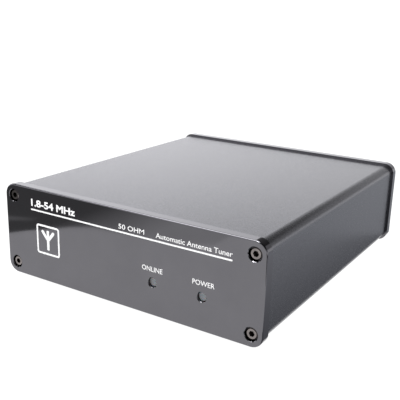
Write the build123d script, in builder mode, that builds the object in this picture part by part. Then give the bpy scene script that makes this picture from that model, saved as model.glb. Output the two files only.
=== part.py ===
from build123d import *
import math
import os

# Automatic antenna tuner for an amateur radio station.
# An extruded aluminium sleeve is closed by a thick flat panel at each end. Inside, a circuit
# board slides in the sleeve's guide ribs and carries the relays, coils and capacitors that
# match the antenna. The sockets and the ground terminal are on the rear panel.
# Millimetres. +Z is up, +Y is towards the rear, X = 0 is the middle, Z = 0 is under the feet.

# ---------------------------------------------------------------------------------------------
# Driving dimensions
# ---------------------------------------------------------------------------------------------
PANEL_WIDTH = 150.0
PANEL_HEIGHT = 48.0
PANEL_THICK = 5.0
PANEL_CORNER = 6.0
PANEL_EDGE = 0.7
HOLE_BREAK = 0.25       # chamfer that breaks the sharp rim of each hole in a panel
SLEEVE_LENGTH = 160.0
SLEEVE_WALL = 2.0
SLEEVE_CORNER = 5.0
OVERHANG = 1.2          # how far each panel stands out round the sleeve
FOOT_CLEARANCE = 3.0    # height of the panels' lower edges above the table
INK = 0.05              # thickness of the printed film

# Panel screws: M3 socket cap heads, sunk below the panel's face
SCREW_INSET_X = 5.75
SCREW_INSET_Z = 6.0
M3_RADIUS = 1.5
M3_CLEARANCE = 1.7
CAP_RADIUS = 2.75
CAP_HEIGHT = 3.0
CAP_KEY_FLATS = 2.5
CAP_KEY_DEPTH = 2.0
CAP_SUNK = 0.8
CAP_EDGE = 0.45
SCREW_TIP = 0.4
COUNTERBORE_RADIUS = 3.23
PANEL_SCREW_LENGTH = 10.0

# Sleeve details
PORT_RADIUS = 3.3
PORT_BORE = 1.55
PORT_SLOT = 1.2
RIB_REACH = 2.0
RIB_THICK = 1.0
RIB_GAP = 1.8

# Circuit board
BOARD_THICK = 1.6
BOARD_HEIGHT = 11.0     # underside of the board above the panels' lower edges
BOARD_SIDE_GAP = 0.3
BOARD_END_GAP = 2.0
PIN_HOLE = 0.65

# Indicators, measured from the front panel's left and lower edges
INDICATOR_X = {"online_led": 92.9, "power_led": 119.4}
INDICATOR_HEIGHT = 16.3
INDICATOR_HOLE = 2.3
LED_RADIUS = 2.22
LED_COLLAR_RADIUS = 2.85
LED_LENGTH = 6.9
LED_COLLAR = 1.0
LED_SUNK = 1.3
LED_EDGE = 0.15

# Printed legend, measured from the same edges
RULE_START = 17.7
RULE_END = 134.0
RULE_HEIGHT = 36.9
RULE_THICK = 0.8
BADGE_LEFT = 21.0
BADGE_WIDTH = 15.3
BADGE_BOTTOM = 14.6
BADGE_HEIGHT = 15.6
BADGE_LINE = 1.0
BADGE_CORNER = 1.5
SIGN_HEIGHT = 9.6       # the antenna sign in the badge: a mast and two arms
SIGN_ARM = 5.6
SIGN_SPREAD = 40.0

# Coaxial sockets on the rear panel, with a 5/8-24 thread and a square flange
SOCKETS = {"antenna": 45.0, "transceiver": -12.0}
FLANGE_SIDE = 25.4
FLANGE_THICK = 1.6
FLANGE_CORNER = 2.0
FLANGE_HOLES = 18.26
BARREL_RADIUS = 7.9375
BARREL_LENGTH = 16.0
BARREL_BORE = 6.0
BARREL_BORE_DEPTH = 13.0
BARREL_NOTCH = 2.0
BARREL_NOTCH_DEPTH = 1.2
BARREL_CHAMFER = 0.5
BOSS_RADIUS = 5.5
BOSS_BORE = 4.5
BOSS_LENGTH = 6.0
INSULATOR_SUNK = 2.0
INSULATOR_TAIL = 9.0
CONTACT_RADIUS = 3.0
CONTACT_BORE = 2.0
CONTACT_DEPTH = 12.0
CONTACT_LENGTH = 14.0
CONTACT_PROUD = 0.5
CONTACT_SLOT = 0.5
SOLDER_PIN_RADIUS = 1.9
SOLDER_PIN_END = 16.0
FLANGE_SCREW_LENGTH = 6.0
PAN_RADIUS = 2.8
PAN_HEIGHT = 2.0

# Ground terminal: M4 stud, nut, loose washer and wing nut
GROUND_X = 17.0
STUD_RADIUS = 2.0
STUD_REACH = 15.6
STUD_HEAD_FLATS = 7.0
STUD_HEAD_HEIGHT = 2.8
LUG_THICK = 0.8
LOCK_WASHER_THICK = 1.0
GROUND_NUT_HEIGHT = 3.2
WASHER_RADIUS = 4.5
WASHER_THICK = 0.8
WING_HUB_RADIUS = 4.0
WING_HUB_TOP = 3.5
WING_HUB_HEIGHT = 4.6
WING_SPAN = 20.0
WING_HEIGHT = 10.5
WING_THICK = 2.0
WING_TILT = 30.0
THREAD_PLAY = 0.05      # radial play of the wing nut and the washer on the stud
SEAT_GAP = 0.05         # gap between the clamped faces of separate moving pieces

# Control socket, a small round socket with eight contacts
CONTROL_X = -47.0
CONTROL_WIDTH = 14.0
CONTROL_HEIGHT = 13.0
CONTROL_DEPTH = 13.0
CONTROL_SUNK = 0.2
CONTROL_RING = 4.9
CONTROL_RING_WALL = 0.3
CONTROL_PLUG = 3.7
CONTROL_GROOVE = 8.0

# Relays, sealed plastic boxes
RELAY_WIDTH = 15.0
RELAY_DEPTH = 19.0
RELAY_HEIGHT = 15.5
RELAY_PITCH = 17.5
RELAY_COUNT = 7
RELAY_ROWS = {"inductor_relays": 22.0, "capacitor_relays": -22.0}
RELAY_PINS = [(-6.0, -6.0), (6.0, -6.0), (0.0, 8.0), (-6.0, 6.0), (6.0, 6.0)]
RELAY_PIN_RADIUS = 0.5
PIN_REACH = 3.0         # pins run this far below the board's upper face

# ---------------------------------------------------------------------------------------------
# Places worked out from them
# ---------------------------------------------------------------------------------------------
SOCKET_REACH = FLANGE_THICK + BARREL_LENGTH
TOTAL_LENGTH = INK + 2 * PANEL_THICK + SLEEVE_LENGTH + SOCKET_REACH
FRONT = INK - TOTAL_LENGTH / 2
SLEEVE_FRONT = FRONT + PANEL_THICK
SLEEVE_BACK = SLEEVE_FRONT + SLEEVE_LENGTH
BACK = SLEEVE_BACK + PANEL_THICK
PANEL_LEFT = -PANEL_WIDTH / 2
PANEL_BOTTOM = FOOT_CLEARANCE
MIDDLE = PANEL_BOTTOM + PANEL_HEIGHT / 2
SLEEVE_WIDTH = PANEL_WIDTH - 2 * OVERHANG
SLEEVE_HEIGHT = PANEL_HEIGHT - 2 * OVERHANG
SLEEVE_BOTTOM = PANEL_BOTTOM + OVERHANG
SCREW_PITCH_X = PANEL_WIDTH - 2 * SCREW_INSET_X
SCREW_PITCH_Z = PANEL_HEIGHT - 2 * SCREW_INSET_Z
INNER_HALF_WIDTH = SLEEVE_WIDTH / 2 - SLEEVE_WALL
BOARD_UNDER = PANEL_BOTTOM + BOARD_HEIGHT
BOARD_TOP = BOARD_UNDER + BOARD_THICK
BOARD_WIDTH = 2 * (INNER_HALF_WIDTH - BOARD_SIDE_GAP)
BOARD_LENGTH = SLEEVE_LENGTH - 2 * BOARD_END_GAP
BOARD_MIDDLE = SLEEVE_FRONT + SLEEVE_LENGTH / 2
REARWARD = (0, 1, 0)
DOWN = (0, 0, -1)

os.makedirs("parts", exist_ok=True)


def upright(y):
    """The upright plane across the case at depth y: its own x is +X and its own y is +Z."""
    return Plane(origin=(0, y, 0), x_dir=(1, 0, 0), z_dir=(0, -1, 0))


def outward(y, x=0.0, z=MIDDLE):
    """An upright plane that faces the rear, with its origin at (x, y, z)."""
    return Plane(origin=(x, y, z), x_dir=(-1, 0, 0), z_dir=REARWARD)


def on_board(x=0.0, y=0.0, lift=0.0):
    """A level plane on the board, at x and y from the board's middle."""
    return Plane(origin=(x, BOARD_MIDDLE + y, BOARD_TOP + lift))


# ---------------------------------------------------------------------------------------------
# Case: sleeve, panels, screws, feet and print
# ---------------------------------------------------------------------------------------------
# The sleeve is one extrusion: a thin rounded tube with a slotted screw port in each corner and
# two pairs of guide ribs on each side wall.
rib_x = INNER_HALF_WIDTH - RIB_REACH / 2
slot_middle = BOARD_UNDER + BOARD_THICK / 2 - MIDDLE
rib_step = (RIB_GAP + RIB_THICK) / 2
rib_levels = [side * slot_middle + step for side in (1, -1) for step in (rib_step, -rib_step)]

with BuildPart() as case_sleeve:
    with BuildSketch(outward(SLEEVE_FRONT)):
        RectangleRounded(SLEEVE_WIDTH, SLEEVE_HEIGHT, SLEEVE_CORNER)
        RectangleRounded(
            SLEEVE_WIDTH - 2 * SLEEVE_WALL,
            SLEEVE_HEIGHT - 2 * SLEEVE_WALL,
            SLEEVE_CORNER - SLEEVE_WALL,
            mode=Mode.SUBTRACT,
        )
        with Locations(*[(side * rib_x, level) for side in (1, -1) for level in rib_levels]):
            Rectangle(RIB_REACH, RIB_THICK)
        with GridLocations(SCREW_PITCH_X, SCREW_PITCH_Z, 2, 2):
            Circle(PORT_RADIUS)
        with GridLocations(SCREW_PITCH_X, SCREW_PITCH_Z, 2, 2):
            Circle(PORT_BORE, mode=Mode.SUBTRACT)
        for side in (1, -1):
            for level in (1, -1):
                corner = (side * SCREW_PITCH_X / 2, level * SCREW_PITCH_Z / 2)
                inward = math.degrees(math.atan2(-level, -side))
                with Locations(Location(corner, inward)):
                    Rectangle(
                        PORT_RADIUS + 1,
                        PORT_SLOT,
                        align=(Align.MIN, Align.CENTER),
                        mode=Mode.SUBTRACT,
                    )
    extrude(amount=SLEEVE_LENGTH)
case_sleeve.part.label = "case_sleeve"
export_step(case_sleeve.part, "parts/case_sleeve.step")

# Front panel: a flat plate with a rounded front edge, four counterbored screw holes and two
# holes for the indicators.
with BuildPart() as front_panel:
    with BuildSketch(upright(FRONT)):
        with Locations((0, MIDDLE)):
            RectangleRounded(PANEL_WIDTH, PANEL_HEIGHT, PANEL_CORNER)
    extrude(amount=PANEL_THICK, dir=REARWARD)
    fillet(front_panel.faces().sort_by(Axis.Y)[0].edges(), PANEL_EDGE)
    with Locations(upright(FRONT)):
        with Locations((0, MIDDLE)):
            with GridLocations(SCREW_PITCH_X, SCREW_PITCH_Z, 2, 2):
                CounterBoreHole(M3_CLEARANCE, COUNTERBORE_RADIUS, CAP_SUNK + CAP_HEIGHT)
        with Locations(*[(PANEL_LEFT + x, PANEL_BOTTOM + INDICATOR_HEIGHT) for x in INDICATOR_X.values()]):
            Hole(INDICATOR_HOLE)
    front_rims = [wire.edges() for wire in front_panel.faces().sort_by(Axis.Y)[0].inner_wires()]
    chamfer(front_rims, HOLE_BREAK)
front_panel.part.label = "front_panel"
export_step(front_panel.part, "parts/front_panel.step")

# Rear panel: the same blank, with the sockets' holes.
CONTROL_Z = BOARD_TOP + CONTROL_HEIGHT / 2
CUTOUT_PLAY = 0.3
CUTOUT_CORNER = 0.8
with BuildPart() as rear_panel:
    with BuildSketch(outward(BACK)):
        RectangleRounded(PANEL_WIDTH, PANEL_HEIGHT, PANEL_CORNER)
    extrude(amount=-PANEL_THICK)
    fillet(rear_panel.faces().sort_by(Axis.Y)[-1].edges(), PANEL_EDGE)
    with Locations(outward(BACK)):
        with GridLocations(SCREW_PITCH_X, SCREW_PITCH_Z, 2, 2):
            CounterBoreHole(M3_CLEARANCE, COUNTERBORE_RADIUS, CAP_SUNK + CAP_HEIGHT)
        with Locations(*[(-x, 0) for x in SOCKETS.values()]):
            Hole(BOSS_RADIUS + CUTOUT_PLAY)
        for x in SOCKETS.values():
            with Locations((-x, 0)):
                with GridLocations(FLANGE_HOLES, FLANGE_HOLES, 2, 2):
                    Hole(M3_RADIUS + THREAD_PLAY)
        with Locations((-GROUND_X, 0)):
            Hole(STUD_RADIUS + 2 * THREAD_PLAY)
    with BuildSketch(outward(BACK, CONTROL_X, CONTROL_Z)):
        RectangleRounded(CONTROL_WIDTH + 2 * CUTOUT_PLAY, CONTROL_HEIGHT + 2 * CUTOUT_PLAY, CUTOUT_CORNER)
    extrude(amount=-PANEL_THICK, mode=Mode.SUBTRACT)
    rear_rims = [wire.edges() for wire in rear_panel.faces().sort_by(Axis.Y)[-1].inner_wires()]
    chamfer(rear_rims, HOLE_BREAK)
rear_panel.part.label = "rear_panel"
export_step(rear_panel.part, "parts/rear_panel.step")


def cap_screw(plane, length):
    """One M3 socket cap screw: the plane lies on its head's face, and the shank runs below."""
    with BuildPart() as screw:
        with BuildSketch(plane):
            Circle(CAP_RADIUS)
        extrude(amount=-CAP_HEIGHT)
        chamfer(screw.faces().sort_by(Axis(plane.origin, plane.z_dir))[-1].edges(), CAP_EDGE)
        with BuildSketch(plane):
            RegularPolygon(CAP_KEY_FLATS / 2, 6, major_radius=False)
        extrude(amount=-CAP_KEY_DEPTH, mode=Mode.SUBTRACT)
        with BuildSketch(plane.offset(-CAP_HEIGHT)):
            Circle(M3_RADIUS)
        extrude(amount=-length)
        chamfer(screw.faces().sort_by(Axis(plane.origin, plane.z_dir))[0].edges(), SCREW_TIP)
    return screw.part


screw_spots = [
    (side * SCREW_PITCH_X / 2, MIDDLE + level * SCREW_PITCH_Z / 2) for side in (-1, 1) for level in (-1, 1)
]

with BuildPart() as front_panel_screws:
    for x, z in screw_spots:
        head_face = Plane(origin=(x, FRONT + CAP_SUNK, z), x_dir=(1, 0, 0), z_dir=(0, -1, 0))
        add(cap_screw(head_face, PANEL_SCREW_LENGTH))
front_panel_screws.part.label = "front_panel_screws"
export_step(front_panel_screws.part, "parts/front_panel_screws.step")

with BuildPart() as rear_panel_screws:
    for x, z in screw_spots:
        add(cap_screw(outward(BACK - CAP_SUNK, x, z), PANEL_SCREW_LENGTH))
rear_panel_screws.part.label = "rear_panel_screws"
export_step(rear_panel_screws.part, "parts/rear_panel_screws.step")

# Four soft feet, stuck under the sleeve.
FOOT_RADIUS = 6.0
FOOT_SPREAD_X = 116.0
FOOT_SPREAD_Y = 128.0
FOOT_TAPER = 6.0
FOOT_EDGE = 0.6
with BuildPart() as rubber_feet:
    with BuildSketch(Plane(origin=(0, BOARD_MIDDLE, SLEEVE_BOTTOM))):
        with GridLocations(FOOT_SPREAD_X, FOOT_SPREAD_Y, 2, 2):
            Circle(FOOT_RADIUS)
    extrude(amount=SLEEVE_BOTTOM, dir=DOWN, taper=FOOT_TAPER)
    fillet(rubber_feet.faces().filter_by(Axis.Z).group_by(Axis.Z)[0].edges(), FOOT_EDGE)
rubber_feet.part.label = "rubber_feet"
export_step(rubber_feet.part, "parts/rubber_feet.step")

# Front print: a long rule and a square badge with an antenna sign.
badge_x = PANEL_LEFT + BADGE_LEFT + BADGE_WIDTH / 2
badge_z = PANEL_BOTTOM + BADGE_BOTTOM + BADGE_HEIGHT / 2
with BuildPart() as front_legend:
    with BuildSketch(upright(FRONT)):
        with Locations((PANEL_LEFT + (RULE_START + RULE_END) / 2, PANEL_BOTTOM + RULE_HEIGHT)):
            Rectangle(RULE_END - RULE_START, RULE_THICK)
        with Locations((badge_x, badge_z)):
            RectangleRounded(BADGE_WIDTH, BADGE_HEIGHT, BADGE_CORNER)
            RectangleRounded(
                BADGE_WIDTH - 2 * BADGE_LINE,
                BADGE_HEIGHT - 2 * BADGE_LINE,
                BADGE_CORNER - BADGE_LINE / 2,
                mode=Mode.SUBTRACT,
            )
            Rectangle(BADGE_LINE, SIGN_HEIGHT)
        for side in (1, -1):
            with Locations(Location((badge_x, badge_z), 90 - side * SIGN_SPREAD)):
                Rectangle(SIGN_ARM, BADGE_LINE, align=(Align.MIN, Align.CENTER))
    extrude(amount=INK)
front_legend.part.label = "front_legend"
export_step(front_legend.part, "parts/front_legend.step")

# Rear print: the ground sign over the stud.
GROUND_BARS = {13.0: 6.0, 11.8: 4.0, 10.6: 2.0}    # height above the stud: width
GROUND_BAR = 0.5
GROUND_STEM = 2.4
GROUND_STEM_RISE = 14.2
with BuildPart() as rear_legend:
    with BuildSketch(upright(BACK)):
        for rise, width in GROUND_BARS.items():
            with Locations((GROUND_X, MIDDLE + rise)):
                Rectangle(width, GROUND_BAR)
        with Locations((GROUND_X, MIDDLE + GROUND_STEM_RISE)):
            Rectangle(GROUND_BAR, GROUND_STEM)
    extrude(amount=-INK)
rear_legend.part.label = "rear_legend"
export_step(rear_legend.part, "parts/rear_legend.step")

# ---------------------------------------------------------------------------------------------
# Indicators: flat-topped lamps that lie over the board's front edge
# ---------------------------------------------------------------------------------------------
LEAD_RADIUS = 0.25
LEAD_SPACING = 2.54
LEAD_RUN = 2.5
LEAD_BEND = 0.8
indicator_z = PANEL_BOTTOM + INDICATOR_HEIGHT
lamp_face = FRONT + LED_SUNK
lamp_back = lamp_face + LED_LENGTH + LED_COLLAR

for name, from_left in INDICATOR_X.items():
    with BuildPart() as lamp:
        with BuildSketch(upright(lamp_face)):
            with Locations((PANEL_LEFT + from_left, indicator_z)):
                Circle(LED_RADIUS)
        extrude(amount=LED_LENGTH + LED_COLLAR, dir=REARWARD)
        chamfer(lamp.faces().sort_by(Axis.Y)[0].edges(), LED_EDGE)
        with BuildSketch(upright(lamp_face + LED_LENGTH)):
            with Locations((PANEL_LEFT + from_left, indicator_z)):
                Circle(LED_COLLAR_RADIUS)
        extrude(amount=LED_COLLAR, dir=REARWARD)
    lamp.part.label = name
    export_step(lamp.part, f"parts/{name}.step")

lead_x = [
    PANEL_LEFT + from_left + side * LEAD_SPACING / 2 for from_left in INDICATOR_X.values() for side in (-1, 1)
]
with BuildPart() as led_leads:
    for x in lead_x:
        with BuildLine():
            FilletPolyline(
                (x, lamp_back, indicator_z),
                (x, lamp_back + LEAD_RUN, indicator_z),
                (x, lamp_back + LEAD_RUN, BOARD_TOP - PIN_REACH),
                radius=LEAD_BEND,
            )
        with BuildSketch(upright(lamp_back)):
            with Locations((x, indicator_z)):
                Circle(LEAD_RADIUS)
        sweep()
led_leads.part.label = "led_leads"
export_step(led_leads.part, "parts/led_leads.step")

# ---------------------------------------------------------------------------------------------
# Coaxial sockets: shell, insulator and centre contact, fixed by four screws each
# ---------------------------------------------------------------------------------------------
BARREL_END = BACK + SOCKET_REACH
INSULATOR_END = BACK - INSULATOR_TAIL
BORE_STEP = BARREL_END - BARREL_BORE_DEPTH
CONTACT_END = BARREL_END - INSULATOR_SUNK + CONTACT_PROUD

for name, x in SOCKETS.items():
    # Shell: square flange outside the panel, threaded barrel behind it, boss through the panel.
    with BuildPart() as shell:
        with BuildSketch(outward(BACK, x)):
            RectangleRounded(FLANGE_SIDE, FLANGE_SIDE, FLANGE_CORNER)
        extrude(amount=FLANGE_THICK)
        with BuildSketch(outward(BACK + FLANGE_THICK, x)):
            Circle(BARREL_RADIUS)
        extrude(amount=BARREL_LENGTH)
        chamfer(shell.faces().sort_by(Axis.Y)[-1].edges(), BARREL_CHAMFER)
        with BuildSketch(outward(BACK, x)):
            Circle(BOSS_RADIUS)
        extrude(amount=-BOSS_LENGTH)
        with BuildSketch(outward(BARREL_END, x)):
            Circle(BARREL_BORE)
        extrude(amount=-BARREL_BORE_DEPTH, mode=Mode.SUBTRACT)
        with BuildSketch(outward(BARREL_END, x)):
            Circle(BOSS_BORE)
        extrude(amount=-(SOCKET_REACH + BOSS_LENGTH), mode=Mode.SUBTRACT)
        with BuildSketch(outward(BARREL_END, x)):
            Rectangle(2 * BARREL_RADIUS + 1, BARREL_NOTCH)
            Rectangle(BARREL_NOTCH, 2 * BARREL_RADIUS + 1)
        extrude(amount=-BARREL_NOTCH_DEPTH, mode=Mode.SUBTRACT)
        with Locations(outward(BACK + FLANGE_THICK, x)):
            with GridLocations(FLANGE_HOLES, FLANGE_HOLES, 2, 2):
                Hole(M3_CLEARANCE, depth=FLANGE_THICK)
    shell.part.label = f"{name}_socket_shell"
    export_step(shell.part, f"parts/{name}_socket_shell.step")

    # Insulator: fills the barrel's bore up to a little below the rim.
    with BuildPart() as insulator:
        with BuildSketch(outward(BORE_STEP, x)):
            Circle(BARREL_BORE)
        extrude(amount=BARREL_BORE_DEPTH - INSULATOR_SUNK)
        with BuildSketch(outward(BORE_STEP, x)):
            Circle(BOSS_BORE)
        extrude(amount=INSULATOR_END - BORE_STEP)
        with BuildSketch(outward(INSULATOR_END, x)):
            Circle(SOLDER_PIN_RADIUS)
        extrude(amount=BARREL_END - INSULATOR_END, mode=Mode.SUBTRACT)
        with BuildSketch(outward(BARREL_END, x)):
            Circle(CONTACT_RADIUS)
        extrude(amount=CONTACT_END - CONTACT_LENGTH - BARREL_END, mode=Mode.SUBTRACT)
    insulator.part.label = f"{name}_socket_insulator"
    export_step(insulator.part, f"parts/{name}_socket_insulator.step")

    # Centre contact: a slotted tube for the plug's pin, with a solder pin at the back.
    with BuildPart() as contact:
        with BuildSketch(outward(CONTACT_END, x)):
            Circle(CONTACT_RADIUS)
        extrude(amount=-CONTACT_LENGTH)
        with BuildSketch(outward(BACK - SOLDER_PIN_END, x)):
            Circle(SOLDER_PIN_RADIUS)
        extrude(amount=CONTACT_END - CONTACT_LENGTH - BACK + SOLDER_PIN_END)
        with BuildSketch(outward(CONTACT_END, x)):
            Circle(CONTACT_BORE)
        extrude(amount=-CONTACT_DEPTH, mode=Mode.SUBTRACT)
        with BuildSketch(outward(CONTACT_END, x)):
            Rectangle(2 * CONTACT_RADIUS + 1, CONTACT_SLOT)
            Rectangle(CONTACT_SLOT, 2 * CONTACT_RADIUS + 1)
        extrude(amount=-CONTACT_DEPTH / 2, mode=Mode.SUBTRACT)
    contact.part.label = f"{name}_socket_contact"
    export_step(contact.part, f"parts/{name}_socket_contact.step")


PAN_EDGE = 1.4
CROSS_LENGTH = 3.0
CROSS_WIDTH = 0.6
CROSS_DEPTH = 1.2


def pan_screw(plane, length):
    """One M3 pan-head screw: the plane lies under its head, and the shank runs below it."""
    with BuildPart() as screw:
        with BuildSketch(plane):
            Circle(PAN_RADIUS)
        extrude(amount=PAN_HEIGHT)
        top = screw.faces().sort_by(Axis(plane.origin, plane.z_dir))[-1]
        fillet(top.edges(), PAN_EDGE)
        with BuildSketch(plane.offset(PAN_HEIGHT)):
            Rectangle(CROSS_LENGTH, CROSS_WIDTH)
            Rectangle(CROSS_WIDTH, CROSS_LENGTH)
        extrude(amount=-CROSS_DEPTH, mode=Mode.SUBTRACT)
        with BuildSketch(plane):
            Circle(M3_RADIUS)
        extrude(amount=-length)
    return screw.part


with BuildPart() as socket_screws:
    for x in SOCKETS.values():
        for side in (-1, 1):
            for level in (-1, 1):
                spot_x = x + side * FLANGE_HOLES / 2
                spot_z = MIDDLE + level * FLANGE_HOLES / 2
                add(pan_screw(outward(BACK + FLANGE_THICK, spot_x, spot_z), FLANGE_SCREW_LENGTH))
socket_screws.part.label = "socket_screws"
export_step(socket_screws.part, "parts/socket_screws.step")

# ---------------------------------------------------------------------------------------------
# Ground terminal: everything is threaded on one stud
# ---------------------------------------------------------------------------------------------
lug_back = BACK - PANEL_THICK
lock_washer_start = BACK
ground_nut_start = lock_washer_start + LOCK_WASHER_THICK
washer_start = ground_nut_start + GROUND_NUT_HEIGHT + SEAT_GAP
wing_nut_start = washer_start + WASHER_THICK + SEAT_GAP

with BuildPart() as ground_stud:
    with BuildSketch(outward(lug_back - LUG_THICK, GROUND_X)):
        RegularPolygon(STUD_HEAD_FLATS / 2, 6, major_radius=False)
    extrude(amount=-STUD_HEAD_HEIGHT)
    with BuildSketch(outward(lug_back - LUG_THICK, GROUND_X)):
        Circle(STUD_RADIUS)
    extrude(amount=LUG_THICK + PANEL_THICK + STUD_REACH)
    chamfer(ground_stud.faces().sort_by(Axis.Y)[-1].edges(), SCREW_TIP)
ground_stud.part.label = "ground_stud"
export_step(ground_stud.part, "parts/ground_stud.step")

LUG_RADIUS = 4.5
LUG_TAIL_WIDTH = 5.0
LUG_TAIL_LENGTH = 9.0
with BuildPart() as ground_lug:
    with BuildSketch(outward(lug_back, GROUND_X)):
        Circle(LUG_RADIUS)
        Rectangle(LUG_TAIL_WIDTH, LUG_TAIL_LENGTH, align=(Align.CENTER, Align.MAX))
        Circle(STUD_RADIUS, mode=Mode.SUBTRACT)
    extrude(amount=-LUG_THICK)
ground_lug.part.label = "ground_lug"
export_step(ground_lug.part, "parts/ground_lug.step")

# Split spring washer under the fixed nut.
LOCK_WASHER_RADIUS = 3.8
LOCK_WASHER_BORE = 2.1
LOCK_WASHER_SPLIT = 0.6
with BuildPart() as ground_lock_washer:
    with BuildSketch(outward(lock_washer_start, GROUND_X)):
        Circle(LOCK_WASHER_RADIUS)
        Circle(LOCK_WASHER_BORE, mode=Mode.SUBTRACT)
        Rectangle(WASHER_RADIUS, LOCK_WASHER_SPLIT, align=(Align.MIN, Align.CENTER), mode=Mode.SUBTRACT)
    extrude(amount=LOCK_WASHER_THICK)
ground_lock_washer.part.label = "ground_lock_washer"
export_step(ground_lock_washer.part, "parts/ground_lock_washer.step")

with BuildPart() as ground_nut:
    with BuildSketch(outward(ground_nut_start, GROUND_X)):
        RegularPolygon(STUD_HEAD_FLATS / 2, 6, major_radius=False)
        Circle(STUD_RADIUS, mode=Mode.SUBTRACT)
    extrude(amount=GROUND_NUT_HEIGHT)
ground_nut.part.label = "ground_nut"
export_step(ground_nut.part, "parts/ground_nut.step")

# Loose washer, which travels with the wing nut.
with BuildPart() as ground_washer:
    with BuildSketch(outward(washer_start, GROUND_X)):
        Circle(WASHER_RADIUS)
        Circle(STUD_RADIUS + THREAD_PLAY, mode=Mode.SUBTRACT)
    extrude(amount=WASHER_THICK)
ground_washer.part.label = "ground_washer"
export_step(ground_washer.part, "parts/ground_washer.step")

# Wing nut: a tapered hub with two rounded wings that rise past its end.
wing_along = math.cos(math.radians(WING_TILT))
wing_rise = math.sin(math.radians(WING_TILT))
wing_plane = Plane(
    origin=(GROUND_X, wing_nut_start, MIDDLE),
    x_dir=(wing_along, 0, wing_rise),
    z_dir=(-wing_rise, 0, wing_along),
)
WING_TIP_RADIUS = 2.6
WING_CORE = 1.0         # where each wing starts inside the hub
WING_ROOT = 3.4         # where its lower edge leaves the hub
WING_NECK = 2.8         # where its upper edge leaves the hub
WING_FOOT = 0.6         # height of its lower edge above the seat
with BuildPart() as wing_nut:
    with BuildSketch(wing_plane):
        for side in (1, -1):
            with BuildLine():
                Polyline(
                    (side * WING_CORE, WING_FOOT),
                    (side * WING_ROOT, WING_FOOT),
                    (side * WING_SPAN / 2, WING_HEIGHT - 2 * WING_TIP_RADIUS),
                    (side * WING_SPAN / 2, WING_HEIGHT),
                    (side * (WING_SPAN / 2 - 2 * WING_TIP_RADIUS), WING_HEIGHT),
                    (side * WING_NECK, WING_HUB_HEIGHT),
                    (side * WING_CORE, WING_HUB_HEIGHT),
                    close=True,
                )
            make_face()
    extrude(amount=WING_THICK / 2, both=True)
    corners = wing_nut.edges().filter_by(Axis(wing_plane.origin, wing_plane.z_dir))
    fillet(corners.group_by(Axis.Y)[-1], WING_TIP_RADIUS - 0.1)
    with BuildSketch(outward(wing_nut_start, GROUND_X)):
        Circle(WING_HUB_RADIUS)
    with BuildSketch(outward(wing_nut_start + WING_HUB_HEIGHT, GROUND_X)):
        Circle(WING_HUB_TOP)
    loft()
    with BuildSketch(outward(wing_nut_start, GROUND_X)):
        Circle(STUD_RADIUS + THREAD_PLAY)
    extrude(amount=WING_HEIGHT, mode=Mode.SUBTRACT)
wing_nut.part.label = "wing_nut"
export_step(wing_nut.part, "parts/wing_nut.step")

# ---------------------------------------------------------------------------------------------
# Control socket: plastic body, metal ring and eight contacts
# ---------------------------------------------------------------------------------------------
CONTACT_RING = 2.5
CONTACT_ANGLES = (-30, 15, 60, 120, 165, 210)
CONTACT_PAIR = 0.8      # the two inner contacts stand this far to each side
CONTACT_DROP = 0.2
CONTACT_WALL = 0.2
CONTACT_RECESS = 0.4
CONTROL_PIN_HOLE = 0.55
CONTROL_CORNER = 0.5
CONTROL_KEY_WIDTH = 1.8
CONTROL_KEY_HEIGHT = 1.6
control_face = BACK - CONTROL_SUNK
contact_spots = [
    (CONTACT_RING * math.cos(math.radians(angle)), CONTACT_RING * math.sin(math.radians(angle)))
    for angle in CONTACT_ANGLES
] + [(side * CONTACT_PAIR, -CONTACT_DROP) for side in (-1, 1)]

with BuildPart() as control_socket_body:
    with BuildSketch(outward(control_face, CONTROL_X, CONTROL_Z)):
        RectangleRounded(CONTROL_WIDTH, CONTROL_HEIGHT, CONTROL_CORNER)
    extrude(amount=-CONTROL_DEPTH)
    with BuildSketch(outward(control_face, CONTROL_X, CONTROL_Z)):
        Circle(CONTROL_RING)
        Circle(CONTROL_PLUG, mode=Mode.SUBTRACT)
    extrude(amount=-CONTROL_GROOVE, mode=Mode.SUBTRACT)
    with BuildSketch(outward(control_face, CONTROL_X, CONTROL_Z)):
        with Locations(*contact_spots):
            Circle(CONTROL_PIN_HOLE)
        with Locations((0, CONTROL_KEY_HEIGHT / 2 - CONTROL_PLUG)):
            Rectangle(CONTROL_KEY_WIDTH, CONTROL_KEY_HEIGHT)
    extrude(amount=-CONTROL_GROOVE, mode=Mode.SUBTRACT)
control_socket_body.part.label = "control_socket_body"
export_step(control_socket_body.part, "parts/control_socket_body.step")

with BuildPart() as control_socket_ring:
    with BuildSketch(outward(control_face, CONTROL_X, CONTROL_Z)):
        Circle(CONTROL_RING)
        Circle(CONTROL_RING - CONTROL_RING_WALL, mode=Mode.SUBTRACT)
    extrude(amount=-CONTROL_GROOVE)
control_socket_ring.part.label = "control_socket_ring"
export_step(control_socket_ring.part, "parts/control_socket_ring.step")

with BuildPart() as control_socket_contacts:
    with BuildSketch(outward(control_face - CONTACT_RECESS, CONTROL_X, CONTROL_Z)):
        with Locations(*contact_spots):
            Circle(CONTROL_PIN_HOLE)
        with Locations(*contact_spots):
            Circle(CONTROL_PIN_HOLE - CONTACT_WALL, mode=Mode.SUBTRACT)
    extrude(amount=CONTACT_RECESS - CONTROL_GROOVE)
control_socket_contacts.part.label = "control_socket_contacts"
export_step(control_socket_contacts.part, "parts/control_socket_contacts.step")

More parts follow.
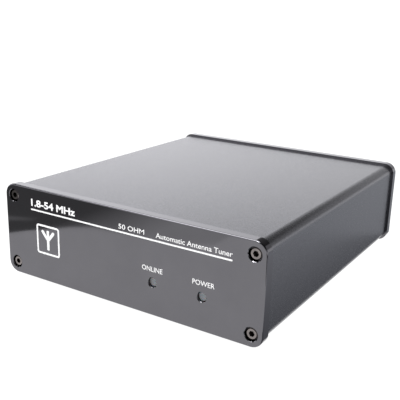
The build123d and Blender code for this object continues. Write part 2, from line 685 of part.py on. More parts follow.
# ---------------------------------------------------------------------------------------------
# Board and what stands on it; places are from the board's middle
# ---------------------------------------------------------------------------------------------
CAPACITOR_ROW = 0.0
CAPACITOR_PITCH = 15.0
CAPACITOR_COUNT = 8
CAPACITOR_RADIUS = 5.5
CAPACITOR_THICK = 3.0
CAPACITOR_LEGS = 5.0
CAPACITOR_LIFT = 1.5
CAPACITOR_LEG = 0.35
CAPACITOR_EDGE = 1.3
LEG_ENTRY = 2.0         # how far each leg reaches into its disc
BOARD_CORNER = 0.8
LEG_HOLE = 0.45
WIRE_HOLE = 1.3
WIRE_RUN = 5.0          # each socket's wire runs this far forward before it turns down
GROUND_WIRE_RUN = 6.0
RELAY_EDGE = 0.8
COIL_ROW = 46.0
NETWORK_RELAY = (56.0, -46.0)

relay_x = [RELAY_PITCH * (i - (RELAY_COUNT - 1) / 2) for i in range(RELAY_COUNT)]
capacitor_x = [CAPACITOR_PITCH * (i - (CAPACITOR_COUNT - 1) / 2) for i in range(CAPACITOR_COUNT)]
relay_spots = {name: [(x, y) for x in relay_x] for name, y in RELAY_ROWS.items()}
relay_spots["network_side_relay"] = [NETWORK_RELAY]
relay_pin_spots = [
    (x + pin_x, y + pin_y) for spots in relay_spots.values() for x, y in spots for pin_x, pin_y in RELAY_PINS
]
capacitor_leg_spots = [
    (x + side * CAPACITOR_LEGS / 2, CAPACITOR_ROW) for x in capacitor_x for side in (-1, 1)
]
led_lead_spots = [(x, lamp_back + LEAD_RUN - BOARD_MIDDLE) for x in lead_x]
socket_wire_spots = [(x, BACK - SOLDER_PIN_END - WIRE_RUN - BOARD_MIDDLE) for x in SOCKETS.values()]
ground_wire_spot = (GROUND_X, lug_back - GROUND_WIRE_RUN - BOARD_MIDDLE)

with BuildPart() as main_board:
    with BuildSketch(on_board()):
        RectangleRounded(BOARD_WIDTH, BOARD_LENGTH, BOARD_CORNER)
        with Locations(*relay_pin_spots):
            Circle(PIN_HOLE, mode=Mode.SUBTRACT)
        with Locations(*capacitor_leg_spots, *led_lead_spots):
            Circle(LEG_HOLE, mode=Mode.SUBTRACT)
        with Locations(*socket_wire_spots, ground_wire_spot):
            Circle(WIRE_HOLE, mode=Mode.SUBTRACT)
    extrude(amount=-BOARD_THICK)
main_board.part.label = "main_board"
export_step(main_board.part, "parts/main_board.step")

# Relays: each is a sealed box with five pins.
for name, spots in relay_spots.items():
    with BuildPart() as relays:
        with BuildSketch(on_board()):
            with Locations(*spots):
                Rectangle(RELAY_WIDTH, RELAY_DEPTH)
        extrude(amount=RELAY_HEIGHT)
        fillet(relays.edges().group_by(Axis.Z)[-1], RELAY_EDGE)
        with BuildSketch(on_board()):
            with Locations(*[(x + pin_x, y + pin_y) for x, y in spots for pin_x, pin_y in RELAY_PINS]):
                Circle(RELAY_PIN_RADIUS)
        extrude(amount=-PIN_REACH)
    relays.part.label = name
    export_step(relays.part, f"parts/{name}.step")

# Disc capacitors stand on edge on their two legs.
with BuildPart() as tuning_capacitors:
    for x in capacitor_x:
        middle = Plane(
            origin=(x, BOARD_MIDDLE + CAPACITOR_ROW, BOARD_TOP + CAPACITOR_LIFT + CAPACITOR_RADIUS),
            x_dir=(1, 0, 0),
            z_dir=(0, -1, 0),
        )
        with BuildSketch(middle):
            Circle(CAPACITOR_RADIUS)
        extrude(amount=CAPACITOR_THICK / 2, both=True)
    fillet(tuning_capacitors.edges(), CAPACITOR_EDGE)
    with BuildSketch(on_board(lift=CAPACITOR_LIFT + LEG_ENTRY)):
        with Locations(*capacitor_leg_spots):
            Circle(CAPACITOR_LEG)
    extrude(amount=-(CAPACITOR_LIFT + LEG_ENTRY + PIN_REACH))
tuning_capacitors.part.label = "tuning_capacitors"
export_step(tuning_capacitors.part, "parts/tuning_capacitors.step")


WINDING_GAP = 0.05      # between a core and the wire round it


def wire_turn(outer, inner, thick, wire):
    """One closed turn of wire round a ring core's section; the core's axis is Z."""
    reach = thick / 2 + wire + WINDING_GAP
    with BuildPart() as turn:
        with BuildLine(Plane.XZ) as path:
            FilletPolyline(
                (inner - wire - WINDING_GAP, reach),
                (outer + wire + WINDING_GAP, reach),
                (outer + wire + WINDING_GAP, -reach),
                (inner - wire - WINDING_GAP, -reach),
                radius=2 * wire,
                close=True,
            )
        with BuildSketch(Plane(origin=path.line @ 0, z_dir=path.line % 0)):
            Circle(wire)
        sweep()
    return turn.part


# Ring cores stand on edge: the larger ones are the network's inductors, and the two small
# ones sense the forward and the reflected wave.
RING_SIZES = {"inductor": (10.1, 6.3, 6.4), "sense": (6.3, 3.6, 4.8)}
RING_WIRE = {"inductor": 0.6, "sense": 0.3}
RING_TURNS = {"inductor": 14, "sense": 12}
RING_LIFT = 0.3         # between the windings and the board
RING_GAP_START = 100.0  # the windings leave a gap at the foot of each ring
RING_WOUND = 340.0
RING_SPOTS = {
    "inductor": [(-50.0, COIL_ROW), (-32.0, COIL_ROW), (-14.0, COIL_ROW)],
    "sense": [(-30.0, 67.0), (30.0, 67.0)],
}
for kind, spots in RING_SPOTS.items():
    outer, inner, thick = RING_SIZES[kind]
    wire = RING_WIRE[kind]
    turn = wire_turn(outer, inner, thick, wire)
    lift = outer + 2 * wire + RING_LIFT
    for number, (x, y) in enumerate(spots, start=1):
        ring = Plane(origin=(x, BOARD_MIDDLE + y, BOARD_TOP + lift), x_dir=(0, 1, 0), z_dir=(1, 0, 0))
        with BuildPart() as core:
            with BuildSketch(ring):
                Circle(outer)
                Circle(inner, mode=Mode.SUBTRACT)
            extrude(amount=thick / 2, both=True)
            fillet(core.edges(), 2 * wire)
        core.part.label = f"{kind}_core_{number}"
        export_step(core.part, f"parts/{kind}_core_{number}.step")
        with BuildPart() as winding:
            with Locations(ring):
                with PolarLocations(0, RING_TURNS[kind], RING_GAP_START, RING_WOUND):
                    add(turn)
        winding.part.label = f"{kind}_winding_{number}"
        export_step(winding.part, f"parts/{kind}_winding_{number}.step")

# Small inductors: open coils of thick wire that lie on the board.
AIR_COILS = [(8.0, 3.6, 4), (25.0, 4.2, 5), (42.0, 4.8, 6), (58.0, 5.4, 7)]
COIL_WIRE = 0.6
COIL_PITCH = 1.9
COIL_LIFT = 0.2
for number, (x, radius, turns) in enumerate(AIR_COILS, start=1):
    length = COIL_PITCH * turns
    start = (x, BOARD_MIDDLE + COIL_ROW - length / 2, BOARD_TOP + radius + COIL_WIRE + COIL_LIFT)
    with BuildPart() as air_coil:
        with BuildLine() as path:
            Helix(COIL_PITCH, length, radius, center=start, direction=(0, 1, 0))
        with BuildSketch(Plane(origin=path.line @ 0, z_dir=path.line % 0)):
            Circle(COIL_WIRE)
        sweep(is_frenet=True)
    air_coil.part.label = f"air_coil_{number}"
    export_step(air_coil.part, f"parts/air_coil_{number}.step")


CHIP_WIDTH = 7.5
CHIP_HEIGHT = 2.4
CHIP_LIFT = 0.15
CHIP_TAPER = 4.0
CHIP_LEAD = (1.6, 0.45, 0.3)
CHIP_LEAD_PITCH = 1.27


def flat_package(spot, length, leads):
    """A flat chip on the board: a body with a row of leads along each long side."""
    lead_length, lead_width, lead_height = CHIP_LEAD
    with BuildPart() as chip:
        with BuildSketch(on_board(*spot, lift=CHIP_LIFT)):
            Rectangle(CHIP_WIDTH, length)
        extrude(amount=CHIP_HEIGHT, taper=CHIP_TAPER)
        with BuildSketch(on_board(*spot)):
            with GridLocations(CHIP_WIDTH + 0.75 * lead_length, CHIP_LEAD_PITCH, 2, leads // 2):
                Rectangle(lead_length, lead_width)
        extrude(amount=lead_height)
    return chip.part


with BuildPart() as microcontroller:
    add(flat_package((0.0, -56.0), 18.0, 28))
microcontroller.part.label = "microcontroller"
export_step(microcontroller.part, "parts/microcontroller.step")

with BuildPart() as relay_drivers:
    for x in (-22.0, 22.0):
        add(flat_package((x, -52.0), 11.6, 18))
relay_drivers.part.label = "relay_drivers"
export_step(relay_drivers.part, "parts/relay_drivers.step")

CRYSTAL_SPOT = (-11.0, -60.0)
CRYSTAL_LENGTH = 11.0
CRYSTAL_WIDTH = 4.6
CRYSTAL_HEIGHT = 3.6
CAN_EDGE = 0.5
with BuildPart() as clock_crystal:
    with BuildSketch(on_board(*CRYSTAL_SPOT)):
        SlotOverall(CRYSTAL_LENGTH, CRYSTAL_WIDTH)
    extrude(amount=CRYSTAL_HEIGHT)
    fillet(clock_crystal.edges().group_by(Axis.Z)[-1], CAN_EDGE)
clock_crystal.part.label = "clock_crystal"
export_step(clock_crystal.part, "parts/clock_crystal.step")

# Regulator: a plastic body that lies on its metal tab.
REGULATOR_SPOT = (-50.0, -54.0)
REGULATOR_WIDTH = 10.0
TAB_LENGTH = 15.5
TAB_THICK = 1.3
TAB_HOLE = 1.8
TAB_HOLE_SHIFT = 4.5
BODY_LENGTH = 9.5
BODY_HEIGHT = 3.2
regulator_x, regulator_y = REGULATOR_SPOT
with BuildPart() as voltage_regulator:
    with BuildSketch(on_board(regulator_x, regulator_y)):
        Rectangle(REGULATOR_WIDTH, TAB_LENGTH)
    extrude(amount=TAB_THICK)
    with BuildSketch(on_board(regulator_x, regulator_y + (BODY_LENGTH - TAB_LENGTH) / 2, TAB_THICK)):
        Rectangle(REGULATOR_WIDTH, BODY_LENGTH)
    extrude(amount=BODY_HEIGHT)
    with BuildSketch(on_board(regulator_x, regulator_y + TAB_HOLE_SHIFT)):
        Circle(TAB_HOLE)
    extrude(amount=TAB_THICK, mode=Mode.SUBTRACT)
voltage_regulator.part.label = "voltage_regulator"
export_step(voltage_regulator.part, "parts/voltage_regulator.step")

CAN_SPOTS = [(-36.0, -50.0), (-36.0, -62.0)]
CAN_RADIUS = 4.0
CAN_HEIGHT = 11.5
with BuildPart() as supply_capacitors:
    with BuildSketch(on_board()):
        with Locations(*CAN_SPOTS):
            Circle(CAN_RADIUS)
    extrude(amount=CAN_HEIGHT)
    fillet(supply_capacitors.edges().group_by(Axis.Z)[-1], CAN_EDGE)
supply_capacitors.part.label = "supply_capacitors"
export_step(supply_capacitors.part, "parts/supply_capacitors.step")

# ---------------------------------------------------------------------------------------------
# Wires from the rear panel to the board
# ---------------------------------------------------------------------------------------------
SOCKET_WIRE = 0.9
SOCKET_WIRE_BEND = 3.5
GROUND_WIRE = 0.8
GROUND_WIRE_BEND = 2.5
GROUND_WIRE_DROP = 7.5  # the wire meets the lug's tail this far below the stud
WIRE_END = BOARD_UNDER - 1.0
for name, x in SOCKETS.items():
    wire_start = BACK - SOLDER_PIN_END
    with BuildPart() as lead:
        with BuildLine():
            FilletPolyline(
                (x, wire_start, MIDDLE),
                (x, wire_start - WIRE_RUN, MIDDLE),
                (x, wire_start - WIRE_RUN, WIRE_END),
                radius=SOCKET_WIRE_BEND,
            )
        with BuildSketch(outward(wire_start, x)):
            Circle(SOCKET_WIRE)
        sweep()
    lead.part.label = f"{name}_lead"
    export_step(lead.part, f"parts/{name}_lead.step")

lug_face = lug_back - LUG_THICK
lug_wire_z = MIDDLE - GROUND_WIRE_DROP
with BuildPart() as ground_lead:
    with BuildLine():
        FilletPolyline(
            (GROUND_X, lug_face, lug_wire_z),
            (GROUND_X, lug_back - GROUND_WIRE_RUN, lug_wire_z),
            (GROUND_X, lug_back - GROUND_WIRE_RUN, WIRE_END),
            radius=GROUND_WIRE_BEND,
        )
    with BuildSketch(outward(lug_face, GROUND_X, lug_wire_z)):
        Circle(GROUND_WIRE)
    sweep()
ground_lead.part.label = "ground_lead"
export_step(ground_lead.part, "parts/ground_lead.step")
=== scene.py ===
"""Looks of an automatic antenna tuner: finishes, print, threads, studio and camera round its frame."""

import logging
import math
from collections.abc import Callable, Iterator
from contextlib import contextmanager
from dataclasses import dataclass, field
from enum import Enum
from typing import Any

import bmesh
import bpy
from mathutils import Matrix, Vector


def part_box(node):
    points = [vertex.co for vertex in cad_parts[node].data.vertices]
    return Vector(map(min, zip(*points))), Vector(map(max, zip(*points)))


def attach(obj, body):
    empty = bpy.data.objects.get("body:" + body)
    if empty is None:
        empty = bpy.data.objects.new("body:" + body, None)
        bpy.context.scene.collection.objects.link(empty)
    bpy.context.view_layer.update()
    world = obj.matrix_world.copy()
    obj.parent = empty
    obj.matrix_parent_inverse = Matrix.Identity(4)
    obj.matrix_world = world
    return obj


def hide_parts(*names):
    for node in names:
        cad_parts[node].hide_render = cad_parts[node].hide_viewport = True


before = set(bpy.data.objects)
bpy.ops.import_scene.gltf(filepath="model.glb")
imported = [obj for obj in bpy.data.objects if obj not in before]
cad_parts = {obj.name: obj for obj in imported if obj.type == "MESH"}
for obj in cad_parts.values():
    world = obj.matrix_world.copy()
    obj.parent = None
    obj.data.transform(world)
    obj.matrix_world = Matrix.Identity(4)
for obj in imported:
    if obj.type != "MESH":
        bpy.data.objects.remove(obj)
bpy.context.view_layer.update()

MM = 0.001
# Noise levels between which a finish's colour, and its shine, go from one end to the other.
PATCH_SPREAD = (0.35, 0.65)
SHINE_SPREAD = (0.3, 0.7)
# How far light runs under a milky surface, mm.
MILKY_REACH = 0.5
# Points closer than this share of a millimetre, or of a thread's pitch, are merged.
MERGE_SHARE = 0.001
# Steps in a full turn of a turned shape.
TURN_STEPS = 64
# Where a thread's groove ends, and where its crest starts and ends, as shares of the pitch.
GROOVE_END = 0.15
CREST_START = 0.45
CREST_END = 0.7
# Turns of thread past each end of a bar, which are cut off again.
LEAD_IN = 1.5
# Short names for the types that recur.
Piece = bpy.types.Object
Socket = bpy.types.NodeSocket
Tree = bpy.types.NodeTree
log = logging.getLogger("antenna_tuner")


# ----------------------------------------
# Finishes
# ----------------------------------------
def linear(hex_colour: str) -> tuple[float, float, float, float]:
    """Turns an sRGB colour such as "#808080" into linear red, green, blue and alpha.

    Args:
        hex_colour: The colour as a hash and six hexadecimal digits.

    Returns:
        The linear colour, fully opaque.
    """
    shares = [int(hex_colour[i:i + 2], 16) / 255 for i in (1, 3, 5)]
    bent = [s / 12.92 if s <= 0.04045 else ((s + 0.055) / 1.055) ** 2.4 for s in shares]
    return (bent[0], bent[1], bent[2], 1.0)


def add_node(
    tree: Tree,
    kind: str,
    settings: dict[str, Any] | None = None,
    inputs: dict[str | int, Any] | None = None,
) -> bpy.types.Node:
    """Adds one shader node, sets its options and fills or links its sockets.

    Args:
        tree: The node tree that the node goes in.
        kind: Blender's type name of the node, without its "ShaderNode" start.
        settings: The node's own options.
        inputs: A value, or the output socket that feeds it, for each input named.

    Returns:
        The new node.
    """
    node = tree.nodes.new("ShaderNode" + kind)
    for name, value in (settings or {}).items():
        setattr(node, name, value)
    for name, value in (inputs or {}).items():
        if isinstance(value, Socket):
            tree.links.new(value, node.inputs[name])
        else:
            node.inputs[name].default_value = value
    return node


def bare_tree(owner: bpy.types.Material | bpy.types.World) -> Tree:
    """Switches a material or the world to nodes, and empties its tree."""
    owner.use_nodes = True
    owner.node_tree.nodes.clear()
    return owner.node_tree


@dataclass(frozen=True)
class Finish:
    """A real material as it was made, and what it gives the eye.

    Attributes:
        name: The material's name.
        colour: Its main colour, sRGB.
        shade: The colour of its uneven patches, sRGB.
        roughness: Its lowest and highest roughness.
        metallic: 1 for bare or dyed metal, 0 for the rest.
        ior: Index of refraction of a material that isn't metal.
        cloud: Width of the uneven patches, mm.
        grain: Width of the surface grain, mm.
        depth: Depth of the surface grain, mm.
        stretch: How the grain and patches are drawn out along each axis.
        coat: Weight of a clear coat.
        coat_roughness: Roughness of that coat.
        milky: How much light goes in and comes out again close by.
    """

    name: str
    colour: str
    shade: str
    roughness: tuple[float, float]
    metallic: float = 0.0
    ior: float = 1.5
    cloud: float = 12.0
    grain: float = 0.3
    depth: float = 0.004
    stretch: tuple[float, float, float] = (1.0, 1.0, 1.0)
    coat: float = 0.0
    coat_roughness: float = 0.1
    milky: float = 0.0

    def material(self) -> bpy.types.Material:
        """Makes the material, or gives the one already made."""
        made = bpy.data.materials.get(self.name)
        if made is not None:
            return made
        made = bpy.data.materials.new(self.name)
        tree = bare_tree(made)
        coords = add_node(tree, "TexCoord").outputs["Object"]
        place = add_node(tree, "Mapping", None, {"Vector": coords, "Scale": self.stretch}).outputs[0]
        colour, rough = self.pattern(tree, place)
        shader = add_node(tree, "BsdfPrincipled", None, {
            "Base Color": colour,
            "Roughness": rough,
            "Metallic": self.metallic,
            "IOR": self.ior,
            "Coat Weight": self.coat,
            "Coat Roughness": self.coat_roughness,
            "Subsurface Weight": self.milky,
            "Subsurface Scale": MILKY_REACH * MM,
            "Normal": self.relief(tree, place),
        })
        add_node(tree, "OutputMaterial", None, {"Surface": shader.outputs[0]})
        return made

    def pattern(self, tree: Tree, place: Socket) -> tuple[Socket, Socket]:
        """Draws the uneven patches.

        Args:
            tree: The material's node tree.
            place: The place on the piece, in metres.

        Returns:
            The sockets that give the colour and the roughness.
        """
        patches = add_node(tree, "TexNoise", None, {
            "Vector": place, "Scale": 1 / (self.cloud * MM), "Detail": 4.0, "Roughness": 0.6,
        }).outputs[0]
        share = add_node(tree, "MapRange", None, {
            "Value": patches, "From Min": PATCH_SPREAD[0], "From Max": PATCH_SPREAD[1],
        }).outputs[0]
        colour = add_node(tree, "Mix", {"data_type": "RGBA"}, {
            0: share, 6: linear(self.colour), 7: linear(self.shade),
        }).outputs[2]
        rough = add_node(tree, "MapRange", None, {
            "Value": patches, "From Min": SHINE_SPREAD[0], "From Max": SHINE_SPREAD[1],
            "To Min": self.roughness[0], "To Max": self.roughness[1],
        }).outputs[0]
        return colour, rough

    def relief(self, tree: Tree, place: Socket) -> Socket:
        """Draws the grain as fine bumps.

        Args:
            tree: The material's node tree.
            place: The place on the piece, in metres.

        Returns:
            The socket that gives the bumped normal.
        """
        grain = add_node(tree, "TexNoise", None, {
            "Vector": place, "Scale": 1 / (self.grain * MM), "Detail": 2.0, "Roughness": 0.5,
        }).outputs[0]
        return add_node(tree, "Bump", None, {"Height": grain, "Distance": self.depth * MM}).outputs[0]


@dataclass(frozen=True)
class TrackedLaminate(Finish):
    """Glass-fibre board under green resist, with copper tracks that show through as paler lines.

    Attributes:
        cell: Width of the cells that the tracks run round, mm.
        track: Where a track's edge starts and ends, as shares of a cell from its border.
    """

    cell: float = 7.2
    track: tuple[float, float] = (0.05, 0.08)

    def pattern(self, tree: Tree, place: Socket) -> tuple[Socket, Socket]:
        """Draws the tracks as the borders of uneven cells.

        Args:
            tree: The material's node tree.
            place: The place on the piece, in metres.

        Returns:
            The sockets that give the colour and the roughness.
        """
        cells = add_node(tree, "TexVoronoi", {"feature": "DISTANCE_TO_EDGE"}, {
            "Vector": place, "Scale": 1 / (self.cell * MM),
        }).outputs["Distance"]
        share = add_node(tree, "MapRange", None, {
            "Value": cells, "From Min": self.track[0], "From Max": self.track[1],
        }).outputs[0]
        colour = add_node(tree, "Mix", {"data_type": "RGBA"}, {
            0: share, 6: linear(self.shade), 7: linear(self.colour),
        }).outputs[2]
        rough = add_node(tree, "MapRange", None, {
            "Value": cells, "To Min": self.roughness[0], "To Max": self.roughness[1],
        }).outputs[0]
        return colour, rough


@dataclass(frozen=True)
class RecessShadedSteel(Finish):
    """Oiled black steel with painted shade: its colour darkens the deeper a spot lies in a hole.

    Attributes:
        reach: How far the painted shade of a recess spreads, mm.
        painted_shade: The colour of the painted shade at the bottom of a recess, sRGB.
        openness: How open to its surroundings a spot is where the painted shade starts to thin and is
            gone.
    """

    reach: float = 1.6
    painted_shade: str = "#221c1a"
    openness: tuple[float, float] = (0.45, 0.85)

    def pattern(self, tree: Tree, place: Socket) -> tuple[Socket, Socket]:
        """Paints shade into the colour in the recesses.

        Args:
            tree: The material's node tree.
            place: The place on the piece, in metres.

        Returns:
            The sockets that give the colour and the roughness.
        """
        colour, rough = super().pattern(tree, place)
        # Painted shade: ambient occlusion darkens the colour in the hollows, such as the hex key.
        open_share = add_node(tree, "AmbientOcclusion", {"samples": 8, "only_local": True}, {
            "Distance": self.reach * MM,
        }).outputs["AO"]
        share = add_node(tree, "MapRange", None, {
            "Value": open_share, "From Min": self.openness[0], "From Max": self.openness[1],
        }).outputs[0]
        shaded_colour = add_node(tree, "Mix", {"data_type": "RGBA"}, {
            0: share, 6: linear(self.painted_shade), 7: colour,
        }).outputs[2]
        return shaded_colour, rough


# Extruded aluminium, bead blasted and then dyed black in the anodising bath: a dark metal that
# goes pale at a low angle. The blast's pits are about 0.1 mm and are drawn coarser so that they show.
BLASTED_ANODISING = Finish(
    "blasted_black_anodising", "#76767a", "#68686c", (0.24, 0.28), 1.0,
    cloud=0.8, grain=0.45, depth=0.026,
)
# Milled aluminium plate, satin anodised black: smoother than the sleeve, so it mirrors the table.
SATIN_ANODISING = Finish(
    "satin_black_anodising", "#6b6a6e", "#68676b", (0.07, 0.09), 1.0,
    cloud=20.0, grain=0.25, depth=0.0006,
)
# Alloy steel screws with black oxide, oiled: grey where the head is flat and catches the light,
# and nearly black in the key, where shade is painted into the colour.
BLACK_OXIDE = RecessShadedSteel(
    "black_oxide_steel", "#857f7d", "#767170", (0.16, 0.22), 1.0, cloud=2.0, grain=0.2, depth=0.002,
)
# Moulded nitrile rubber: soft and matt, a little grey with bloom.
FOOT_RUBBER = Finish(
    "nitrile_rubber", "#26262a", "#303034", (0.7, 0.85), ior=1.52, cloud=2.5, grain=0.35, depth=0.02,
)
# Screen-printed white epoxy ink: an even, slightly satin film.
PRINT_INK = Finish(
    "white_screen_ink", "#fbfbfb", "#f2f2f2", (0.5, 0.6), cloud=0.8, grain=0.15, depth=0.002,
)
# Diffused epoxy of an unlit lamp: grey and cloudy, with a dull top.
LAMP_RESIN = Finish(
    "diffused_lamp_resin", "#86888c", "#7e8084", (0.35, 0.45), ior=1.54,
    cloud=1.6, grain=0.2, depth=0.003, milky=0.3,
)
# Tinned copper wire: bright and soft edged.
TINNED_WIRE = Finish(
    "tinned_copper_wire", "#c9c8c3", "#b4b3ae", (0.22, 0.4), 1.0, cloud=1.5, grain=0.3, depth=0.004,
)
# Turned brass under nickel: a warm bright mirror with faint turning marks across the axis.
NICKEL_PLATE = Finish(
    "nickel_plated_brass", "#d0cbc1", "#beb9ae", (0.13, 0.24), 1.0,
    cloud=3.0, grain=0.35, depth=0.0015, stretch=(1.0, 3.0, 1.0),
)
# Fluoropolymer turned from rod: white, waxy and a little see-through.
WHITE_INSULATOR = Finish(
    "turned_fluoropolymer", "#f0eee6", "#e6e3d8", (0.35, 0.45), ior=1.38,
    cloud=2.0, grain=0.25, depth=0.004, milky=0.4,
)
# Gold flash on the spring contacts: yellow metal.
GILT_CONTACT = Finish(
    "gold_flashed_brass", "#e3b65c", "#cf9f45", (0.18, 0.28), 1.0, cloud=1.5, grain=0.2, depth=0.001,
)
# Zinc-plated steel, passivated clear: pale blue-grey metal with a mottled shine.
ZINC_PLATE = Finish(
    "zinc_plated_steel", "#b9bcc0", "#a3a7ad", (0.25, 0.4), 1.0, cloud=1.2, grain=0.3, depth=0.003,
)
# Zinc alloy cast in a die and nickel plated: dull shine with the faint orange peel of a casting.
CAST_NICKEL = Finish(
    "nickel_plated_casting", "#c2beb5", "#aca89e", (0.26, 0.4), 1.0, cloud=2.2, grain=0.7, depth=0.02,
)
# Glass-filled polyamide, moulded black: dull with a fine spark-eroded grain.
SOCKET_PLASTIC = Finish(
    "moulded_polyamide", "#1b1b1d", "#232325", (0.45, 0.6), ior=1.53, cloud=3.0, grain=0.3, depth=0.01,
)
# Polyester relay case, moulded: smooth dark blue-black.
RELAY_CASE = Finish(
    "moulded_polyester", "#202734", "#1a202b", (0.3, 0.4), ior=1.57, cloud=5.0, grain=0.4, depth=0.004,
)
# Ceramic disc dipped in phenolic: blue, waxy and a little lumpy.
CAPACITOR_GLAZE = Finish(
    "dipped_phenolic", "#3d67a3", "#335a93", (0.3, 0.45), ior=1.6, cloud=1.5, grain=1.2, depth=0.03,
)
# Transfer-moulded epoxy: dark grey and matt.
CHIP_EPOXY = Finish(
    "moulded_epoxy", "#2c2c2e", "#343436", (0.55, 0.65), ior=1.55, cloud=1.0, grain=0.12, depth=0.004,
)
# Drawn nickel silver can: bright, with marks along the draw.
CRYSTAL_CAN = Finish(
    "drawn_nickel_silver", "#cbcac6", "#bcbab5", (0.2, 0.32), 1.0,
    cloud=1.5, grain=0.2, depth=0.002, stretch=(1.0, 1.0, 0.15),
)
# Aluminium can in shrunk vinyl: dark blue with a soft shine.
CAPACITOR_SLEEVE = Finish(
    "shrunk_vinyl", "#23284a", "#1d2140", (0.28, 0.4), ior=1.53, cloud=2.0, grain=0.8, depth=0.006,
)
# Silicone insulation on the leads: red, soft and dull.
WIRE_COVER = Finish(
    "silicone_insulation", "#a01f22", "#8e1a1d", (0.5, 0.65), ior=1.42, cloud=2.0, grain=0.3, depth=0.004,
)
# Pressed iron powder under red paint: slightly rough enamel.
IRON_POWDER = Finish(
    "painted_iron_powder", "#b8342b", "#a52c24", (0.35, 0.5), ior=1.5, cloud=1.0, grain=0.25, depth=0.012,
)
# Sintered ferrite: charcoal grey and faintly sparkling.
FERRITE = Finish(
    "sintered_ferrite", "#4a4a4d", "#3d3d40", (0.45, 0.6), ior=2.2, cloud=0.8, grain=0.2, depth=0.008,
)
# Copper wire in clear enamel: red-brown metal under a gloss coat.
ENAMELLED_COPPER = Finish(
    "enamelled_copper_wire", "#b8623a", "#a3522d", (0.2, 0.3), 1.0,
    cloud=1.0, grain=0.3, depth=0.002, coat=0.6, coat_roughness=0.08,
)
# Glass-fibre laminate with green solder resist over copper tracks.
BOARD_LAMINATE = TrackedLaminate(
    "glass_fibre_laminate", "#0f5a33", "#2b7d4c", (0.25, 0.4), ior=1.55, grain=0.4, depth=0.004,
)


def dress(nodes: str | tuple[str, ...], finish: Finish) -> None:
    """Gives frame nodes their finish, and reports each.

    Args:
        nodes: The name of one node, or of several.
        finish: What they are made of.
    """
    for name in (nodes,) if isinstance(nodes, str) else nodes:
        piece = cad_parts[name]
        for slot in piece.material_slots:
            slot.material = finish.material()
        if not piece.material_slots:
            piece.data.materials.append(finish.material())
        log.info("%s: %s", name, finish.name)


# ----------------------------------------
# The bench: small helpers round Blender's own modelling tools
# ----------------------------------------
def clear_bench() -> None:
    """Leaves edit mode and deselects everything, so that a tool acts only on the next piece."""
    if bpy.context.mode != "OBJECT":
        bpy.ops.object.mode_set(mode="OBJECT")
    bpy.ops.object.select_all(action="DESELECT")


def take(*pieces: Piece) -> None:
    """Selects only these pieces, with the first one active."""
    clear_bench()
    for piece in pieces:
        piece.select_set(True)
    bpy.context.view_layer.objects.active = pieces[0]


class Element(Enum):
    """What edit mode selects."""

    POINT = "VERT"
    EDGE = "EDGE"
    FACE = "FACE"


@contextmanager
def editing(piece: Piece, element: Element = Element.FACE) -> Iterator[bmesh.types.BMesh]:
    """Opens a piece in edit mode with nothing selected, and closes it again.

    Args:
        piece: The piece to edit.
        element: What is selected.

    Yields:
        The mesh under edit.
    """
    take(piece)
    bpy.ops.object.mode_set(mode="EDIT")
    bpy.ops.mesh.select_mode(type=element.value)
    bpy.ops.mesh.select_all(action="DESELECT")
    yield bmesh.from_edit_mesh(piece.data)
    bpy.ops.object.mode_set(mode="OBJECT")


def pick_all() -> None:
    """Selects the whole mesh under edit."""
    bpy.ops.mesh.select_all(action="SELECT")


def settle(piece: Piece, turn: Matrix | None = None) -> Piece:
    """Moves a piece's place, turn and size into its mesh, and leaves its object at the origin.

    Args:
        piece: The piece.
        turn: A last move of the whole piece, if it needs one.

    Returns:
        The same piece.
    """
    if turn is not None:
        piece.matrix_world = turn @ piece.matrix_world
    take(piece)
    bpy.ops.object.transform_apply(location=True, rotation=True, scale=True)
    return piece


def shape(piece: Piece, kind: str, **settings: Any) -> Piece:
    """Adds a modifier to a piece and applies it.

    Args:
        piece: The piece.
        kind: The modifier's type.
        **settings: The modifier's options.

    Returns:
        The same piece.
    """
    take(piece)
    modifier = piece.modifiers.new(kind.lower(), kind)
    for name, value in settings.items():
        setattr(modifier, name, value)
    bpy.ops.object.modifier_apply(modifier=modifier.name)
    return piece


def block(low: Vector, high: Vector) -> Piece:
    """Makes a block between two corners.

    Args:
        low: Its lowest corner, metres.
        high: Its highest corner, metres.

    Returns:
        The block.
    """
    clear_bench()
    bpy.ops.mesh.primitive_cube_add(size=1.0, location=(low + high) / 2)
    piece = bpy.context.object
    piece.scale = high - low
    return settle(piece)


def cut(piece: Piece, *tools: Piece) -> Piece:
    """Cuts tool shapes out of a piece and throws the tools away."""
    for tool in tools:
        shape(piece, "BOOLEAN", operation="DIFFERENCE", solver="EXACT", object=tool)
        bpy.data.objects.remove(tool)
    return piece


def join(name: str, *pieces: Piece) -> Piece:
    """Joins pieces into one object.

    Args:
        name: The name of the joined piece.
        *pieces: The pieces, of which the first one stays.

    Returns:
        The joined piece.
    """
    take(*pieces)
    if len(pieces) > 1:
        bpy.ops.object.join()
    pieces[0].name = name
    pieces[0].data.name = name
    return pieces[0]


def fit_out(
    piece: Piece, body: str, slot: str, finish: Finish, *nodes: str, smooth: float = 30.0
) -> Piece:
    """Finishes a new piece: smooth shading, material, body and the nodes it stands for.

    Args:
        piece: The new piece, in place.
        body: The body it moves with.
        slot: Not used.
        finish: What it is made of.
        *nodes: The frame nodes that it replaces.
        smooth: Edges sharper than this angle stay sharp, degrees.

    Returns:
        The same piece.
    """
    take(piece)
    bpy.ops.object.shade_smooth_by_angle(angle=math.radians(smooth))
    piece.data.materials.clear()
    piece.data.materials.append(finish.material())
    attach(piece, body)
    if nodes:
        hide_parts(*nodes)
    log.info("%s: %s, %d faces", piece.name, finish.name, len(piece.data.polygons))
    return piece


